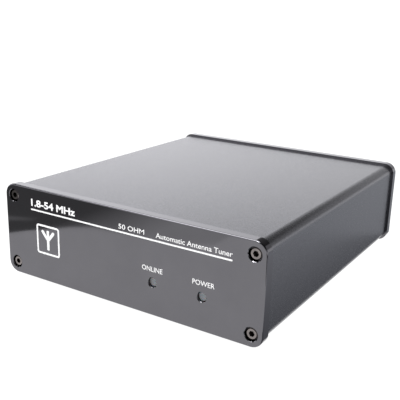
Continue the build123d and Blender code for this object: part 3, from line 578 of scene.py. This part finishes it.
def thread(
    radius: float, pitch: float, depth: float, low: float, high: float, steps: int = TURN_STEPS
) -> Piece:
    """Makes a screw thread along Z as a solid bar with flat ends.

    Args:
        radius: Radius over the crests, metres.
        pitch: Distance from crest to crest, metres.
        depth: Depth of the groove, metres.
        low: Where the bar starts on Z, metres.
        high: Where it ends on Z, metres.
        steps: How many steps a turn has.

    Returns:
        The threaded bar.
    """
    clear_bench()
    bpy.ops.mesh.primitive_plane_add(size=1.0)
    bar = bpy.context.object
    root = radius - depth
    profile = [(root, 0.0), (root, GROOVE_END), (radius, CREST_START), (radius, CREST_END), (root, 1.0)]
    with editing(bar, Element.POINT) as mesh:
        mesh.verts.ensure_lookup_table()
        for vert in mesh.verts[2:]:
            vert.select_set(True)
        bpy.ops.mesh.delete(type="VERT")
        pick_all()
        bpy.ops.mesh.subdivide(number_cuts=len(profile) - 2)
        mesh = bmesh.from_edit_mesh(bar.data)
        ordered = sorted(mesh.verts, key=lambda vert: vert.co.x)
        for vert, (out, share) in zip(ordered, profile):
            vert.co = Vector((out, 0.0, low + (share - LEAD_IN) * pitch))
        bmesh.update_edit_mesh(bar.data)
    turns = math.ceil((high - low) / pitch) + round(2 * LEAD_IN)
    shape(
        bar, "SCREW", axis="Z", angle=math.tau, screw_offset=pitch, iterations=turns,
        steps=steps, render_steps=steps, use_merge_vertices=True, merge_threshold=pitch * MERGE_SHARE,
    )
    with editing(bar, Element.POINT):
        for level, top in ((low, False), (high, True)):
            pick_all()
            bpy.ops.mesh.bisect(
                plane_co=(0, 0, level), plane_no=(0, 0, 1), use_fill=True,
                clear_outer=top, clear_inner=not top,
            )
        pick_all()
        bpy.ops.mesh.normals_make_consistent(inside=False)
    return bar


def copied(node: str) -> Piece:
    """Copies a frame node's mesh into a new piece and merges its loose triangles.

    Args:
        node: The name of the node.

    Returns:
        The copy.
    """
    piece = bpy.data.objects.new(node + "_copy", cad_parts[node].data.copy())
    bpy.context.scene.collection.objects.link(piece)
    with editing(piece, Element.POINT):
        pick_all()
        bpy.ops.mesh.remove_doubles(threshold=MERGE_SHARE * MM)
        bpy.ops.mesh.customdata_custom_splitnormals_clear()
    return piece


def rethreaded(name: str, node: str, bar: Piece, start: float, end: float) -> Piece:
    """Copies a turned node, takes a stretch of it out and fills that with a threaded bar.

    Args:
        name: The name of the new piece.
        node: The frame node, turned round an axis that runs to the rear.
        bar: The threaded bar, which runs up Z from the origin.
        start: Where the stretch starts on Y, metres.
        end: Where the stretch ends on Y, metres.

    Returns:
        The new piece.
    """
    piece = copied(node)
    with editing(piece):
        for level in (start, end):
            pick_all()
            bpy.ops.mesh.bisect(plane_co=(0, level, 0), plane_no=(0, 1, 0))
        mesh = bmesh.from_edit_mesh(piece.data)
        for face in mesh.faces:
            face.select_set(start < face.calc_center_median().y < end)
        bpy.ops.mesh.delete(type="FACE")
    low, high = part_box(node)
    middle = (low + high) / 2
    place = Matrix.Translation((middle.x, start, middle.z)) @ Matrix.Rotation(-math.pi / 2, 4, "X")
    return join(name, piece, settle(bar, place))


# ----------------------------------------
# Case
# ----------------------------------------
@dataclass
class Case:
    """The sleeve, its two end panels, their screws and the feet, all of them frame nodes."""

    sleeve: str = "case_sleeve"
    panels: tuple[str, ...] = ("front_panel", "rear_panel")
    screws: tuple[str, ...] = ("front_panel_screws", "rear_panel_screws")
    feet: str = "rubber_feet"

    def build(self) -> None:
        """Gives each piece of the case its finish."""
        dress(self.sleeve, BLASTED_ANODISING)
        dress(self.panels, SATIN_ANODISING)
        dress(self.screws, BLACK_OXIDE)
        dress(self.feet, FOOT_RUBBER)


# ----------------------------------------
# Print
# ----------------------------------------
class Side(Enum):
    """The two printed faces, each with the turn from a flat sheet read from above to that face."""

    FRONT = 0.0
    REAR = 180.0

    def lay(self, panel: str) -> Matrix:
        """Gives the move from the sheet to a panel's outer face.

        The sheet's X runs from the reader's left and its Y from the panel's lower edge.

        Args:
            panel: The node of the panel.

        Returns:
            The move.
        """
        low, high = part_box(panel)
        corner = Vector((low.x, low.y, low.z))
        if self is Side.REAR:
            corner = Vector((high.x, high.y, low.z))
        turn = Matrix.Rotation(math.radians(self.value), 4, "Z") @ Matrix.Rotation(math.pi / 2, 4, "X")
        return Matrix.Translation(corner) @ turn


@dataclass
class Word:
    """A printed word, fitted to the room that it has.

    Attributes:
        text: What it says.
        left: Where it starts, from the panel's left edge as its reader sees it, mm.
        width: Its width, mm.
        base: Its foot above the panel's lower edge, mm.
        height: The height of its capitals, mm.
        weight: How much its strokes are thickened, as a share of its size.
    """

    text: str
    left: float
    width: float
    base: float
    height: float
    weight: float = 0.0

    def press(self, film: float) -> Piece:
        """Prints the word on the flat sheet.

        Args:
            film: The thickness of the ink, metres.

        Returns:
            The word as a mesh.
        """
        clear_bench()
        bpy.ops.object.text_add()
        letters = bpy.context.object
        letters.data.body = self.text
        letters.data.offset = self.weight
        # Half a unit each way, so that the scale on Z is the film's thickness.
        letters.data.extrude = 0.5
        letters.data.resolution_u = 3
        take(letters)
        bpy.ops.object.convert(target="MESH")
        letters = bpy.context.object
        spots = [vert.co for vert in letters.data.vertices]
        left, right = min(s.x for s in spots), max(s.x for s in spots)
        foot, head = min(s.y for s in spots), max(s.y for s in spots)
        grow = Vector((self.width * MM / (right - left), self.height * MM / (head - foot), film))
        corner = Vector((self.left * MM, self.base * MM, film / 2))
        start = Vector((left * grow.x, foot * grow.y, 0.0))
        return settle(letters, Matrix.Translation(corner - start) @ Matrix.Diagonal((*grow, 1.0)))


@dataclass
class Bar:
    """A printed bar with rounded ends.

    Attributes:
        centre: Its middle on the sheet, mm.
        length: Its length, mm.
        width: Its width, mm.
        turn: Its angle from the sheet's X axis, degrees.
        rounding: Radius of its corners, as a share of its width.
    """

    centre: tuple[float, float]
    length: float
    width: float
    turn: float = 0.0
    rounding: float = 0.3

    def press(self, film: float) -> Piece:
        """Prints the bar on the flat sheet.

        Args:
            film: The thickness of the ink, metres.

        Returns:
            The bar.
        """
        half = Vector((self.length / 2 * MM, self.width / 2 * MM, film / 2))
        piece = block(-half, half)
        with editing(piece, Element.EDGE) as mesh:
            for edge in mesh.edges:
                edge.select_set(edge.verts[0].co.z * edge.verts[1].co.z < 0)
            bpy.ops.mesh.bevel(offset=self.width * self.rounding * MM, segments=3, affect="EDGES")
        spot = Matrix.Translation((self.centre[0] * MM, self.centre[1] * MM, film / 2))
        return settle(piece, spot @ Matrix.Rotation(math.radians(self.turn), 4, "Z"))


@dataclass
class Badge:
    """A rounded square outline with an antenna sign in it, a mast with two arms.

    Attributes:
        left: From the panel's left edge, mm.
        base: Above the panel's lower edge, mm.
        width: Outer width, mm.
        height: Outer height, mm.
        line: Width of its outline, mm.
        stroke: Width of the sign's strokes, mm.
        corner: Outer corner radius, mm.
        mast: Height of the mast, mm.
        arm: Length of each arm, mm.
        spread: Angle of each arm from the mast, degrees.
        inking: Ink on the right arm and the left one, as shares of the film, so that no tops meet.
    """

    left: float = 21.0
    base: float = 14.6
    width: float = 15.3
    height: float = 15.6
    line: float = 1.0
    stroke: float = 1.6
    corner: float = 1.5
    mast: float = 10.4
    arm: float = 6.2
    spread: float = 40.0
    inking: tuple[float, float] = (0.9, 0.8)

    def outline(self, film: float) -> Piece:
        """Prints the outline: a plane with its corners rounded, inset, opened and made thick.

        Args:
            film: The thickness of the ink, metres.

        Returns:
            The outline.
        """
        clear_bench()
        bpy.ops.mesh.primitive_plane_add(size=1.0)
        ring = bpy.context.object
        ring.scale = (self.width * MM, self.height * MM, 1.0)
        ring.location = ((self.left + self.width / 2) * MM, (self.base + self.height / 2) * MM, 0.0)
        settle(ring)
        with editing(ring):
            pick_all()
            bpy.ops.mesh.bevel(offset=self.corner * MM, segments=6, affect="VERTICES")
            pick_all()
            bpy.ops.mesh.inset(thickness=self.line * MM)
            bpy.ops.mesh.delete(type="FACE")
            pick_all()
            bpy.ops.mesh.extrude_region_move(TRANSFORM_OT_translate={"value": (0, 0, film)})
            pick_all()
            bpy.ops.mesh.normals_make_consistent(inside=False)
        return ring

    def press(self, film: float) -> list[Piece]:
        """Prints the outline, the mast and the arms on the flat sheet."""
        middle = (self.left + self.width / 2, self.base + self.height / 2)
        parts = [self.outline(film), Bar(middle, self.mast, self.stroke, 90.0).press(film)]
        for side, share in zip((1, -1), self.inking):
            angle = math.radians(90 - side * self.spread)
            reach = self.arm / 2
            spot = (middle[0] + reach * math.cos(angle), middle[1] + reach * math.sin(angle))
            parts.append(Bar(spot, self.arm, self.stroke, math.degrees(angle)).press(share * film))
        return parts


@dataclass
class Print:
    """All the ink on one panel.

    Attributes:
        name: The name of the printed piece.
        side: The face that it is on.
        panel: The node of that panel.
        legend: The node that it stands for.
        words: Its words.
        bars: Its bars.
        badge: Its badge, if it has one.
        film: Thickness of the ink, mm.
    """

    name: str
    side: Side
    panel: str
    legend: str
    words: list[Word]
    bars: list[Bar] = field(default_factory=list)
    badge: Badge | None = None
    film: float = 0.05

    def build(self) -> None:
        """Prints everything flat, lays it on its panel and lets it stand for the plain legend."""
        film = self.film * MM
        parts = [item.press(film) for item in [*self.words, *self.bars]]
        if self.badge is not None:
            parts += self.badge.press(film)
        ink = settle(join(self.name, *parts), self.side.lay(self.panel))
        fit_out(ink, "case", "white_print", PRINT_INK, self.legend)


def front_print() -> Print:
    """Gives the front panel's print: the heading over its rule, the badge and the lamps' names."""
    return Print(
        "front_print", Side.FRONT, "front_panel", "front_legend",
        words=[
            Word("1.8-54 MHz", 18.0, 29.2, 38.7, 3.75, 0.03),
            Word("50 OHM", 73.7, 14.7, 38.4, 2.4, 0.008),
            Word("Automatic Antenna Tuner", 94.8, 39.2, 38.4, 2.4, 0.006),
            Word("ONLINE", 87.2, 11.4, 21.7, 2.4, 0.006),
            Word("POWER", 114.6, 11.3, 21.7, 2.4, 0.006),
        ],
        bars=[Bar((75.85, 36.9), 116.3, 0.8)],
        badge=Badge(),
    )


def rear_print() -> Print:
    """Gives the rear panel's print: the name of each socket, and the ground sign over the stud."""
    ground = 58.0
    line = 0.5
    rungs = ((37.0, 6.0), (35.8, 4.0), (34.6, 2.0))
    bars = [Bar((ground, height), width, line) for height, width in rungs]
    bars.append(Bar((ground, 38.2), 2.4, line, 90.0))
    return Print(
        "rear_print", Side.REAR, "rear_panel", "rear_legend",
        words=[
            Word("ANTENNA", 22.5, 15.0, 39.5, 2.4, 0.022),
            Word("RADIO", 81.8, 10.4, 39.5, 2.4, 0.022),
            Word("CONTROL", 114.8, 14.4, 28.6, 2.4, 0.022),
            Word("GROUND", ground - 6.6, 13.2, 40.6, 2.0, 0.022),
        ],
        bars=bars,
    )


# ----------------------------------------
# Lamps
# ----------------------------------------
@dataclass
class Lamps:
    """The two indicators behind the front panel and the wires that they stand on."""

    lenses: tuple[str, ...] = ("online_led", "power_led")
    legs: str = "led_leads"

    def build(self) -> None:
        """Gives the lenses and their legs their finish."""
        dress(self.lenses, LAMP_RESIN)
        dress(self.legs, TINNED_WIRE)


# ----------------------------------------
# Rear fittings
# ----------------------------------------
class Link(Enum):
    """What a coaxial socket leads to, in the word that its nodes' names start with."""

    ANTENNA = "antenna"
    TRANSCEIVER = "transceiver"


@dataclass
class CoaxialSocket:
    """A socket for a screw-on coaxial plug, with a real thread round its barrel.

    Attributes:
        link: What it leads to.
        crest: Radius over the thread's crests, mm.
        pitch: Thread pitch, 24 turns to the inch, mm.
        groove: Depth of the thread, mm.
        relief: Plain length at each end of the thread, mm.
        mouth: Length of the notched mouth, mm.
        flange: Thickness of the flange, mm.
        bore: Radius of the bore, mm.
        overrun: How far the bore's tool runs past each end of the thread, mm.
    """

    link: Link
    crest: float = 7.9375
    pitch: float = 25.4 / 24
    groove: float = 0.62
    relief: float = 0.8
    mouth: float = 1.9
    flange: float = 1.6
    bore: float = 6.0
    overrun: float = 1.0

    def shell(self) -> Piece:
        """Makes the shell: the frame's own shell with its smooth barrel taken out and threaded."""
        node = f"{self.link.value}_socket_shell"
        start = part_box("rear_panel")[1].y + (self.flange + self.relief) * MM
        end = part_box(node)[1].y - self.mouth * MM
        bar = thread(self.crest * MM, self.pitch * MM, self.groove * MM, 0.0, end - start)
        clear_bench()
        bpy.ops.mesh.primitive_cylinder_add(
            radius=self.bore * MM, depth=end - start + 2 * self.overrun * MM, vertices=TURN_STEPS,
            location=(0, 0, (end - start) / 2),
        )
        cut(bar, settle(bpy.context.object))
        return rethreaded(f"{self.link.value}_threaded_shell", node, bar, start, end)

    def build(self) -> None:
        """Makes the shell and dresses the socket's insulator and contact."""
        stem = f"{self.link.value}_socket"
        fit_out(self.shell(), "case", "nickel_plate", NICKEL_PLATE, f"{stem}_shell")
        dress(f"{stem}_insulator", WHITE_INSULATOR)
        dress(f"{stem}_contact", GILT_CONTACT)


@dataclass
class GroundTerminal:
    """The ground stud with its nuts and washers.

    Attributes:
        crest: Radius of the stud over its crests, mm.
        pitch: Thread pitch, mm.
        groove: Depth of the thread, mm.
        tip: Length of the chamfer at the stud's end, mm.
        steps: How many steps a turn of its thread has.
        cell: Width of the cells that the wing nut's casting is rebuilt in, mm.
        softening: How often the casting's edges are evened out.
        evening: How far each time, as a share of the way.
    """

    crest: float = 2.0
    pitch: float = 0.7
    groove: float = 0.4
    tip: float = 0.4
    steps: int = 40
    cell: float = 0.2
    softening: int = 5
    evening: float = 0.5

    def stud(self) -> Piece:
        """Makes the stud: the frame's own, threaded from the panel to its tip."""
        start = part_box("rear_panel")[1].y
        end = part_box("ground_stud")[1].y - self.tip * MM
        sizes = (self.crest * MM, self.pitch * MM, self.groove * MM)
        bar = thread(*sizes, 0.0, end - start, self.steps)
        return rethreaded("threaded_ground_stud", "ground_stud", bar, start, end)

    def wing_nut(self) -> Piece:
        """Makes the wing nut: the frame's own, rebuilt in fine cells with its edges cast soft."""
        nut = copied("wing_nut")
        shape(nut, "REMESH", mode="VOXEL", voxel_size=self.cell * MM)
        shape(nut, "SMOOTH", factor=self.evening, iterations=self.softening)
        return join("cast_wing_nut", nut)

    def build(self) -> None:
        """Makes the stud and the wing nut, and dresses the small parts between them."""
        fit_out(self.stud(), "case", "bright_steel", ZINC_PLATE, "ground_stud")
        fit_out(self.wing_nut(), "terminal_wing_nut", "plated_brass", CAST_NICKEL, "wing_nut", smooth=60.0)
        dress(("ground_nut", "ground_lock_washer", "ground_washer", "ground_lug"), ZINC_PLATE)


@dataclass
class ControlSocket:
    """The round eight-way socket for the radio's control cable."""

    body: str = "control_socket_body"
    ring: str = "control_socket_ring"
    contacts: str = "control_socket_contacts"

    def build(self) -> None:
        """Gives the socket's pieces their finish."""
        dress(self.body, SOCKET_PLASTIC)
        dress(self.ring, TINNED_WIRE)
        dress(self.contacts, GILT_CONTACT)


# ----------------------------------------
# Electronics
# ----------------------------------------
@dataclass
class Electronics:
    """The board and everything on it, hidden in the closed case."""

    finishes: dict[Finish, tuple[str, ...]] = field(default_factory=lambda: {
        BOARD_LAMINATE: ("main_board",),
        RELAY_CASE: ("capacitor_relays", "inductor_relays", "network_side_relay"),
        ENAMELLED_COPPER: tuple(f"air_coil_{n}" for n in (1, 2, 3, 4))
        + tuple(f"inductor_winding_{n}" for n in (1, 2, 3))
        + ("sense_winding_1", "sense_winding_2"),
        IRON_POWDER: ("inductor_core_1", "inductor_core_2", "inductor_core_3"),
        FERRITE: ("sense_core_1", "sense_core_2"),
        CAPACITOR_GLAZE: ("tuning_capacitors",),
        CHIP_EPOXY: ("microcontroller", "relay_drivers", "voltage_regulator"),
        CRYSTAL_CAN: ("clock_crystal",),
        CAPACITOR_SLEEVE: ("supply_capacitors",),
        WIRE_COVER: ("antenna_lead", "transceiver_lead", "ground_lead"),
        NICKEL_PLATE: ("socket_screws",),
    })

    def build(self) -> None:
        """Gives every piece on the board its finish."""
        for finish, nodes in self.finishes.items():
            dress(nodes, finish)


# ----------------------------------------
# Studio and camera
# ----------------------------------------
@dataclass(frozen=True)
class Softbox:
    """A soft light.

    Attributes:
        name: Its name.
        place: Its centre, metres.
        aim: The point that it faces, metres.
        size: Its width and height, metres.
        power: Its power, watts.
    """

    name: str
    place: tuple[float, float, float]
    aim: tuple[float, float, float]
    size: tuple[float, float]
    power: float

    def hang(self) -> None:
        """Hangs the light."""
        lamp = bpy.data.lights.new(self.name, "AREA")
        lamp.shape = "RECTANGLE"
        lamp.size, lamp.size_y = self.size
        lamp.energy = self.power
        holder = bpy.data.objects.new(self.name, lamp)
        bpy.context.scene.collection.objects.link(holder)
        holder.location = self.place
        way = Vector(self.aim) - Vector(self.place)
        holder.rotation_euler = way.to_track_quat("-Z", "Y").to_euler()
        holder.visible_camera = False


@dataclass(frozen=True)
class Flag:
    """A flat card on the table that only shows as a darker patch in the object's gloss.

    Attributes:
        name: Its name.
        outline: Its corners in order, mm from the middle of the front panel's lower edge.
        tone: Its colour, sRGB.
        end_tone: The colour that it fades to along X, sRGB.
        fade: Where on X the fade starts and ends, mm. It lies past a card of one tone.
        height: Its height above the table, mm.
    """

    name: str
    outline: tuple[tuple[float, float], ...]
    tone: str
    end_tone: str = "#ffffff"
    fade: tuple[float, float] = (1000.0, 1001.0)
    height: float = 0.5

    def lay(self, origin: Vector) -> None:
        """Lays the card in the studio.

        Args:
            origin: The middle of the front panel's lower edge, metres.
        """
        clear_bench()
        bpy.ops.mesh.primitive_circle_add(vertices=len(self.outline), fill_type="NGON")
        card = bpy.context.object
        card.name = self.name
        for vertex, (x, y) in zip(card.data.vertices, self.outline):
            vertex.co = origin + Vector((x, y, self.height)) * MM
        for ray in ("camera", "diffuse", "shadow", "transmission"):
            setattr(card, "visible_" + ray, False)
        cloth = bpy.data.materials.new(self.name)
        tree = bare_tree(cloth)
        coords = add_node(tree, "TexCoord").outputs["Object"]
        along = add_node(tree, "SeparateXYZ", None, {0: coords}).outputs["X"]
        share = add_node(tree, "MapRange", None, {
            "Value": along, "From Min": self.fade[0] * MM, "From Max": self.fade[1] * MM,
        }).outputs[0]
        colour = add_node(tree, "Mix", {"data_type": "RGBA"}, {
            0: share, 6: linear(self.tone), 7: linear(self.end_tone),
        }).outputs[2]
        glow = add_node(tree, "Emission", None, {"Color": colour, "Strength": 1.0})
        add_node(tree, "OutputMaterial", None, {"Surface": glow.outputs[0]})
        card.data.materials.append(cloth)


@dataclass
class Studio:
    """A glowing pale table under soft lights, with bright walls low down and dark ones above.

    Attributes:
        floor_tone: The table's colour, sRGB.
        floor_glow: How brightly the table glows from below.
        floor_roughness: How matt the table is.
        floor_gloss: Specular level of the table.
        reach: Half the table's width, metres.
        low_wall: Brightness of the walls near the horizon.
        high_wall: Brightness of the walls and ceiling above them.
        wall_top: Height at which the bright walls start to fade and end, degrees above the horizon.
        white_top: Height up to which all the walls are at least white, and where that ends, degrees.
        white: The least brightness up to there.
        left_share: Brightness of the left walls as a share of the middle ones'.
        right_share: Brightness of the right walls as a share of the middle ones'.
        turnover: Where the walls go from the left share to the right one, on a circle of radius 1.
        wall_tone: The walls' colour, sRGB.
        softboxes: The lights.
        flags: The cards on the table.
    """

    floor_tone: str = "#606060"
    floor_glow: float = 1.0
    floor_roughness: float = 0.9
    floor_gloss: float = 0.1
    reach: float = 6.0
    low_wall: float = 1.22
    high_wall: float = 0.15
    wall_top: tuple[float, float] = (22.0, 25.0)
    white_top: tuple[float, float] = (7.5, 10.0)
    white: float = 1.05
    left_share: float = 1.5
    right_share: float = 0.33
    turnover: tuple[float, float] = (-0.6, 0.4)
    wall_tone: str = "#fbfbfe"
    softboxes: tuple[Softbox, ...] = (
        Softbox("overhead_softbox", (-0.3, -0.12, 0.9), (0.0, 0.0, 0.0), (0.8, 0.85), 11.0),
        Softbox("key_softbox", (-0.085, -0.51, 0.87), (0.0, -0.09, 0.0), (0.22, 0.22), 3.5),
    )
    flags: tuple[Flag, ...] = (
        Flag(
            "front_left_flag",
            (
                (-126, -40), (-118, -53), (-100, -75), (-90, -82), (-40, -88), (-10, -100),
                (-10, -500), (-900, -500), (-900, -40),
            ),
            "#7c7c7c", "#f4f4f4", (-112.0, -50.0),
        ),
        Flag(
            "streak_flag", ((-156, -52), (-156, -60), (-128, -74), (-128, -67)),
            "#c4c4c4", "#8c8c8c", (-146.0, -128.0), height=1.0,
        ),
        Flag("front_right_flag", ((110, -60), (300, -20), (300, -300), (110, -300)), "#303030"),
        Flag(
            "side_flag", ((76, -20), (150, -20), (150, 90), (76, 190)),
            "#7c7e84", "#d6d8de", (76.0, 145.0), height=0.6,
        ),
        Flag(
            "far_side_flag", ((76, -20), (500, -20), (500, 900), (76, 900)),
            "#b4b6bc", "#cccfd5", (76.0, 150.0), height=0.3,
        ),
    )

    def build(self) -> None:
        """Lays the table, lights the walls, hangs the lights and lays out the cards."""
        self.lay_floor()
        self.light_walls()
        for softbox in self.softboxes:
            softbox.hang()
        low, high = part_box("front_panel")
        for flag in self.flags:
            flag.lay(Vector(((low.x + high.x) / 2, low.y, 0.0)))

    def lay_floor(self) -> None:
        """Lays a wide matt table under the feet, lit a little from below."""
        clear_bench()
        bpy.ops.mesh.primitive_plane_add(size=2 * self.reach)
        floor = bpy.context.object
        floor.name = "floor"
        acrylic = bpy.data.materials.new("white_acrylic_table")
        tree = bare_tree(acrylic)
        shader = add_node(tree, "BsdfPrincipled", None, {
            "Base Color": linear(self.floor_tone),
            "Roughness": self.floor_roughness,
            "Specular IOR Level": self.floor_gloss,
            "Emission Color": linear("#ffffff"),
            "Emission Strength": self.floor_glow,
        })
        add_node(tree, "OutputMaterial", None, {"Surface": shader.outputs[0]})
        floor.data.materials.append(acrylic)

    def light_walls(self) -> None:
        """Lights the walls: bright low down, dark above, and brighter on the left than the right."""
        world = bpy.data.worlds.new("studio_walls")
        tree = bare_tree(world)
        way = add_node(tree, "TexCoord").outputs["Generated"]
        parts = add_node(tree, "SeparateXYZ", None, {0: way}).outputs
        start, end = (math.sin(math.radians(angle)) for angle in self.wall_top)
        height = add_node(tree, "MapRange", {"interpolation_type": "SMOOTHSTEP"}, {
            "Value": parts["Z"], "From Min": start, "From Max": end,
            "To Min": self.low_wall, "To Max": self.high_wall,
        }).outputs[0]
        across = add_node(tree, "MapRange", None, {
            "Value": parts["X"], "From Min": self.turnover[0], "From Max": self.turnover[1],
            "To Min": self.left_share, "To Max": self.right_share,
        }).outputs[0]
        shared = add_node(tree, "Math", {"operation": "MULTIPLY"}, {0: height, 1: across}).outputs[0]
        start, end = (math.sin(math.radians(angle)) for angle in self.white_top)
        least = add_node(tree, "MapRange", None, {
            "Value": parts["Z"], "From Min": start, "From Max": end,
            "To Min": self.white, "To Max": 0.0,
        }).outputs[0]
        bright = add_node(tree, "Math", {"operation": "MAXIMUM"}, {0: shared, 1: least}).outputs[0]
        glow = add_node(tree, "Background", None, {
            "Color": linear(self.wall_tone), "Strength": bright,
        })
        add_node(tree, "OutputWorld", None, {"Surface": glow.outputs[0]})
        bpy.context.scene.world = world
        bpy.context.scene.view_settings.view_transform = "Standard"


@dataclass
class CameraStand:
    """The camera, a little to the right of the front panel and above it.

    Attributes:
        place: Where it stands, mm in the case's own frame.
        azimuth: How far round to the right it stands, degrees.
        elevation: How far above the horizon it stands, degrees.
        roll: How far it leans, degrees.
        lens: Focal length, mm.
        sensor: Width of the sensor, mm.
        clip: The nearest and farthest that it sees, metres.
    """

    place: tuple[float, float, float] = (184.8, -321.675, 144.5)
    azimuth: float = 32.01
    elevation: float = 16.86
    roll: float = 1.58
    lens: float = 60.71
    sensor: float = 36.0
    clip: tuple[float, float] = (0.01, 50.0)

    def build(self) -> None:
        """Sets the camera up and makes it the scene's camera."""
        camera = bpy.data.cameras.new("camera")
        camera.lens = self.lens
        camera.sensor_width = self.sensor
        camera.clip_start, camera.clip_end = self.clip
        stand = bpy.data.objects.new("camera", camera)
        bpy.context.scene.collection.objects.link(stand)
        round_to, above = math.radians(self.azimuth), math.radians(self.elevation)
        back = Vector((
            math.sin(round_to) * math.cos(above), -math.cos(round_to) * math.cos(above), math.sin(above),
        ))
        right = Vector((0, 0, 1)).cross(back).normalized()
        level = Matrix((right, back.cross(right), back)).transposed()
        lean = Matrix.Rotation(math.radians(self.roll), 3, "Z")
        stand.matrix_world = Matrix.Translation(Vector(self.place) * MM) @ (level @ lean).to_4x4()
        bpy.context.scene.camera = stand


def main() -> None:
    """Builds the camera, every sub-assembly and the studio, in order."""
    logging.basicConfig(level=logging.INFO, format="%(name)s %(message)s")
    steps: list[tuple[str, Callable[[], None]]] = [
        ("camera", CameraStand().build),
        ("case", Case().build),
        ("front print", front_print().build),
        ("rear print", rear_print().build),
        ("lamps", Lamps().build),
        ("antenna socket", CoaxialSocket(Link.ANTENNA).build),
        ("transceiver socket", CoaxialSocket(Link.TRANSCEIVER).build),
        ("ground terminal", GroundTerminal().build),
        ("control socket", ControlSocket().build),
        ("electronics", Electronics().build),
        ("studio", Studio().build),
    ]
    for name, build in steps:
        build()
        log.info("%s done", name)


if __name__ == "__main__":
    main()
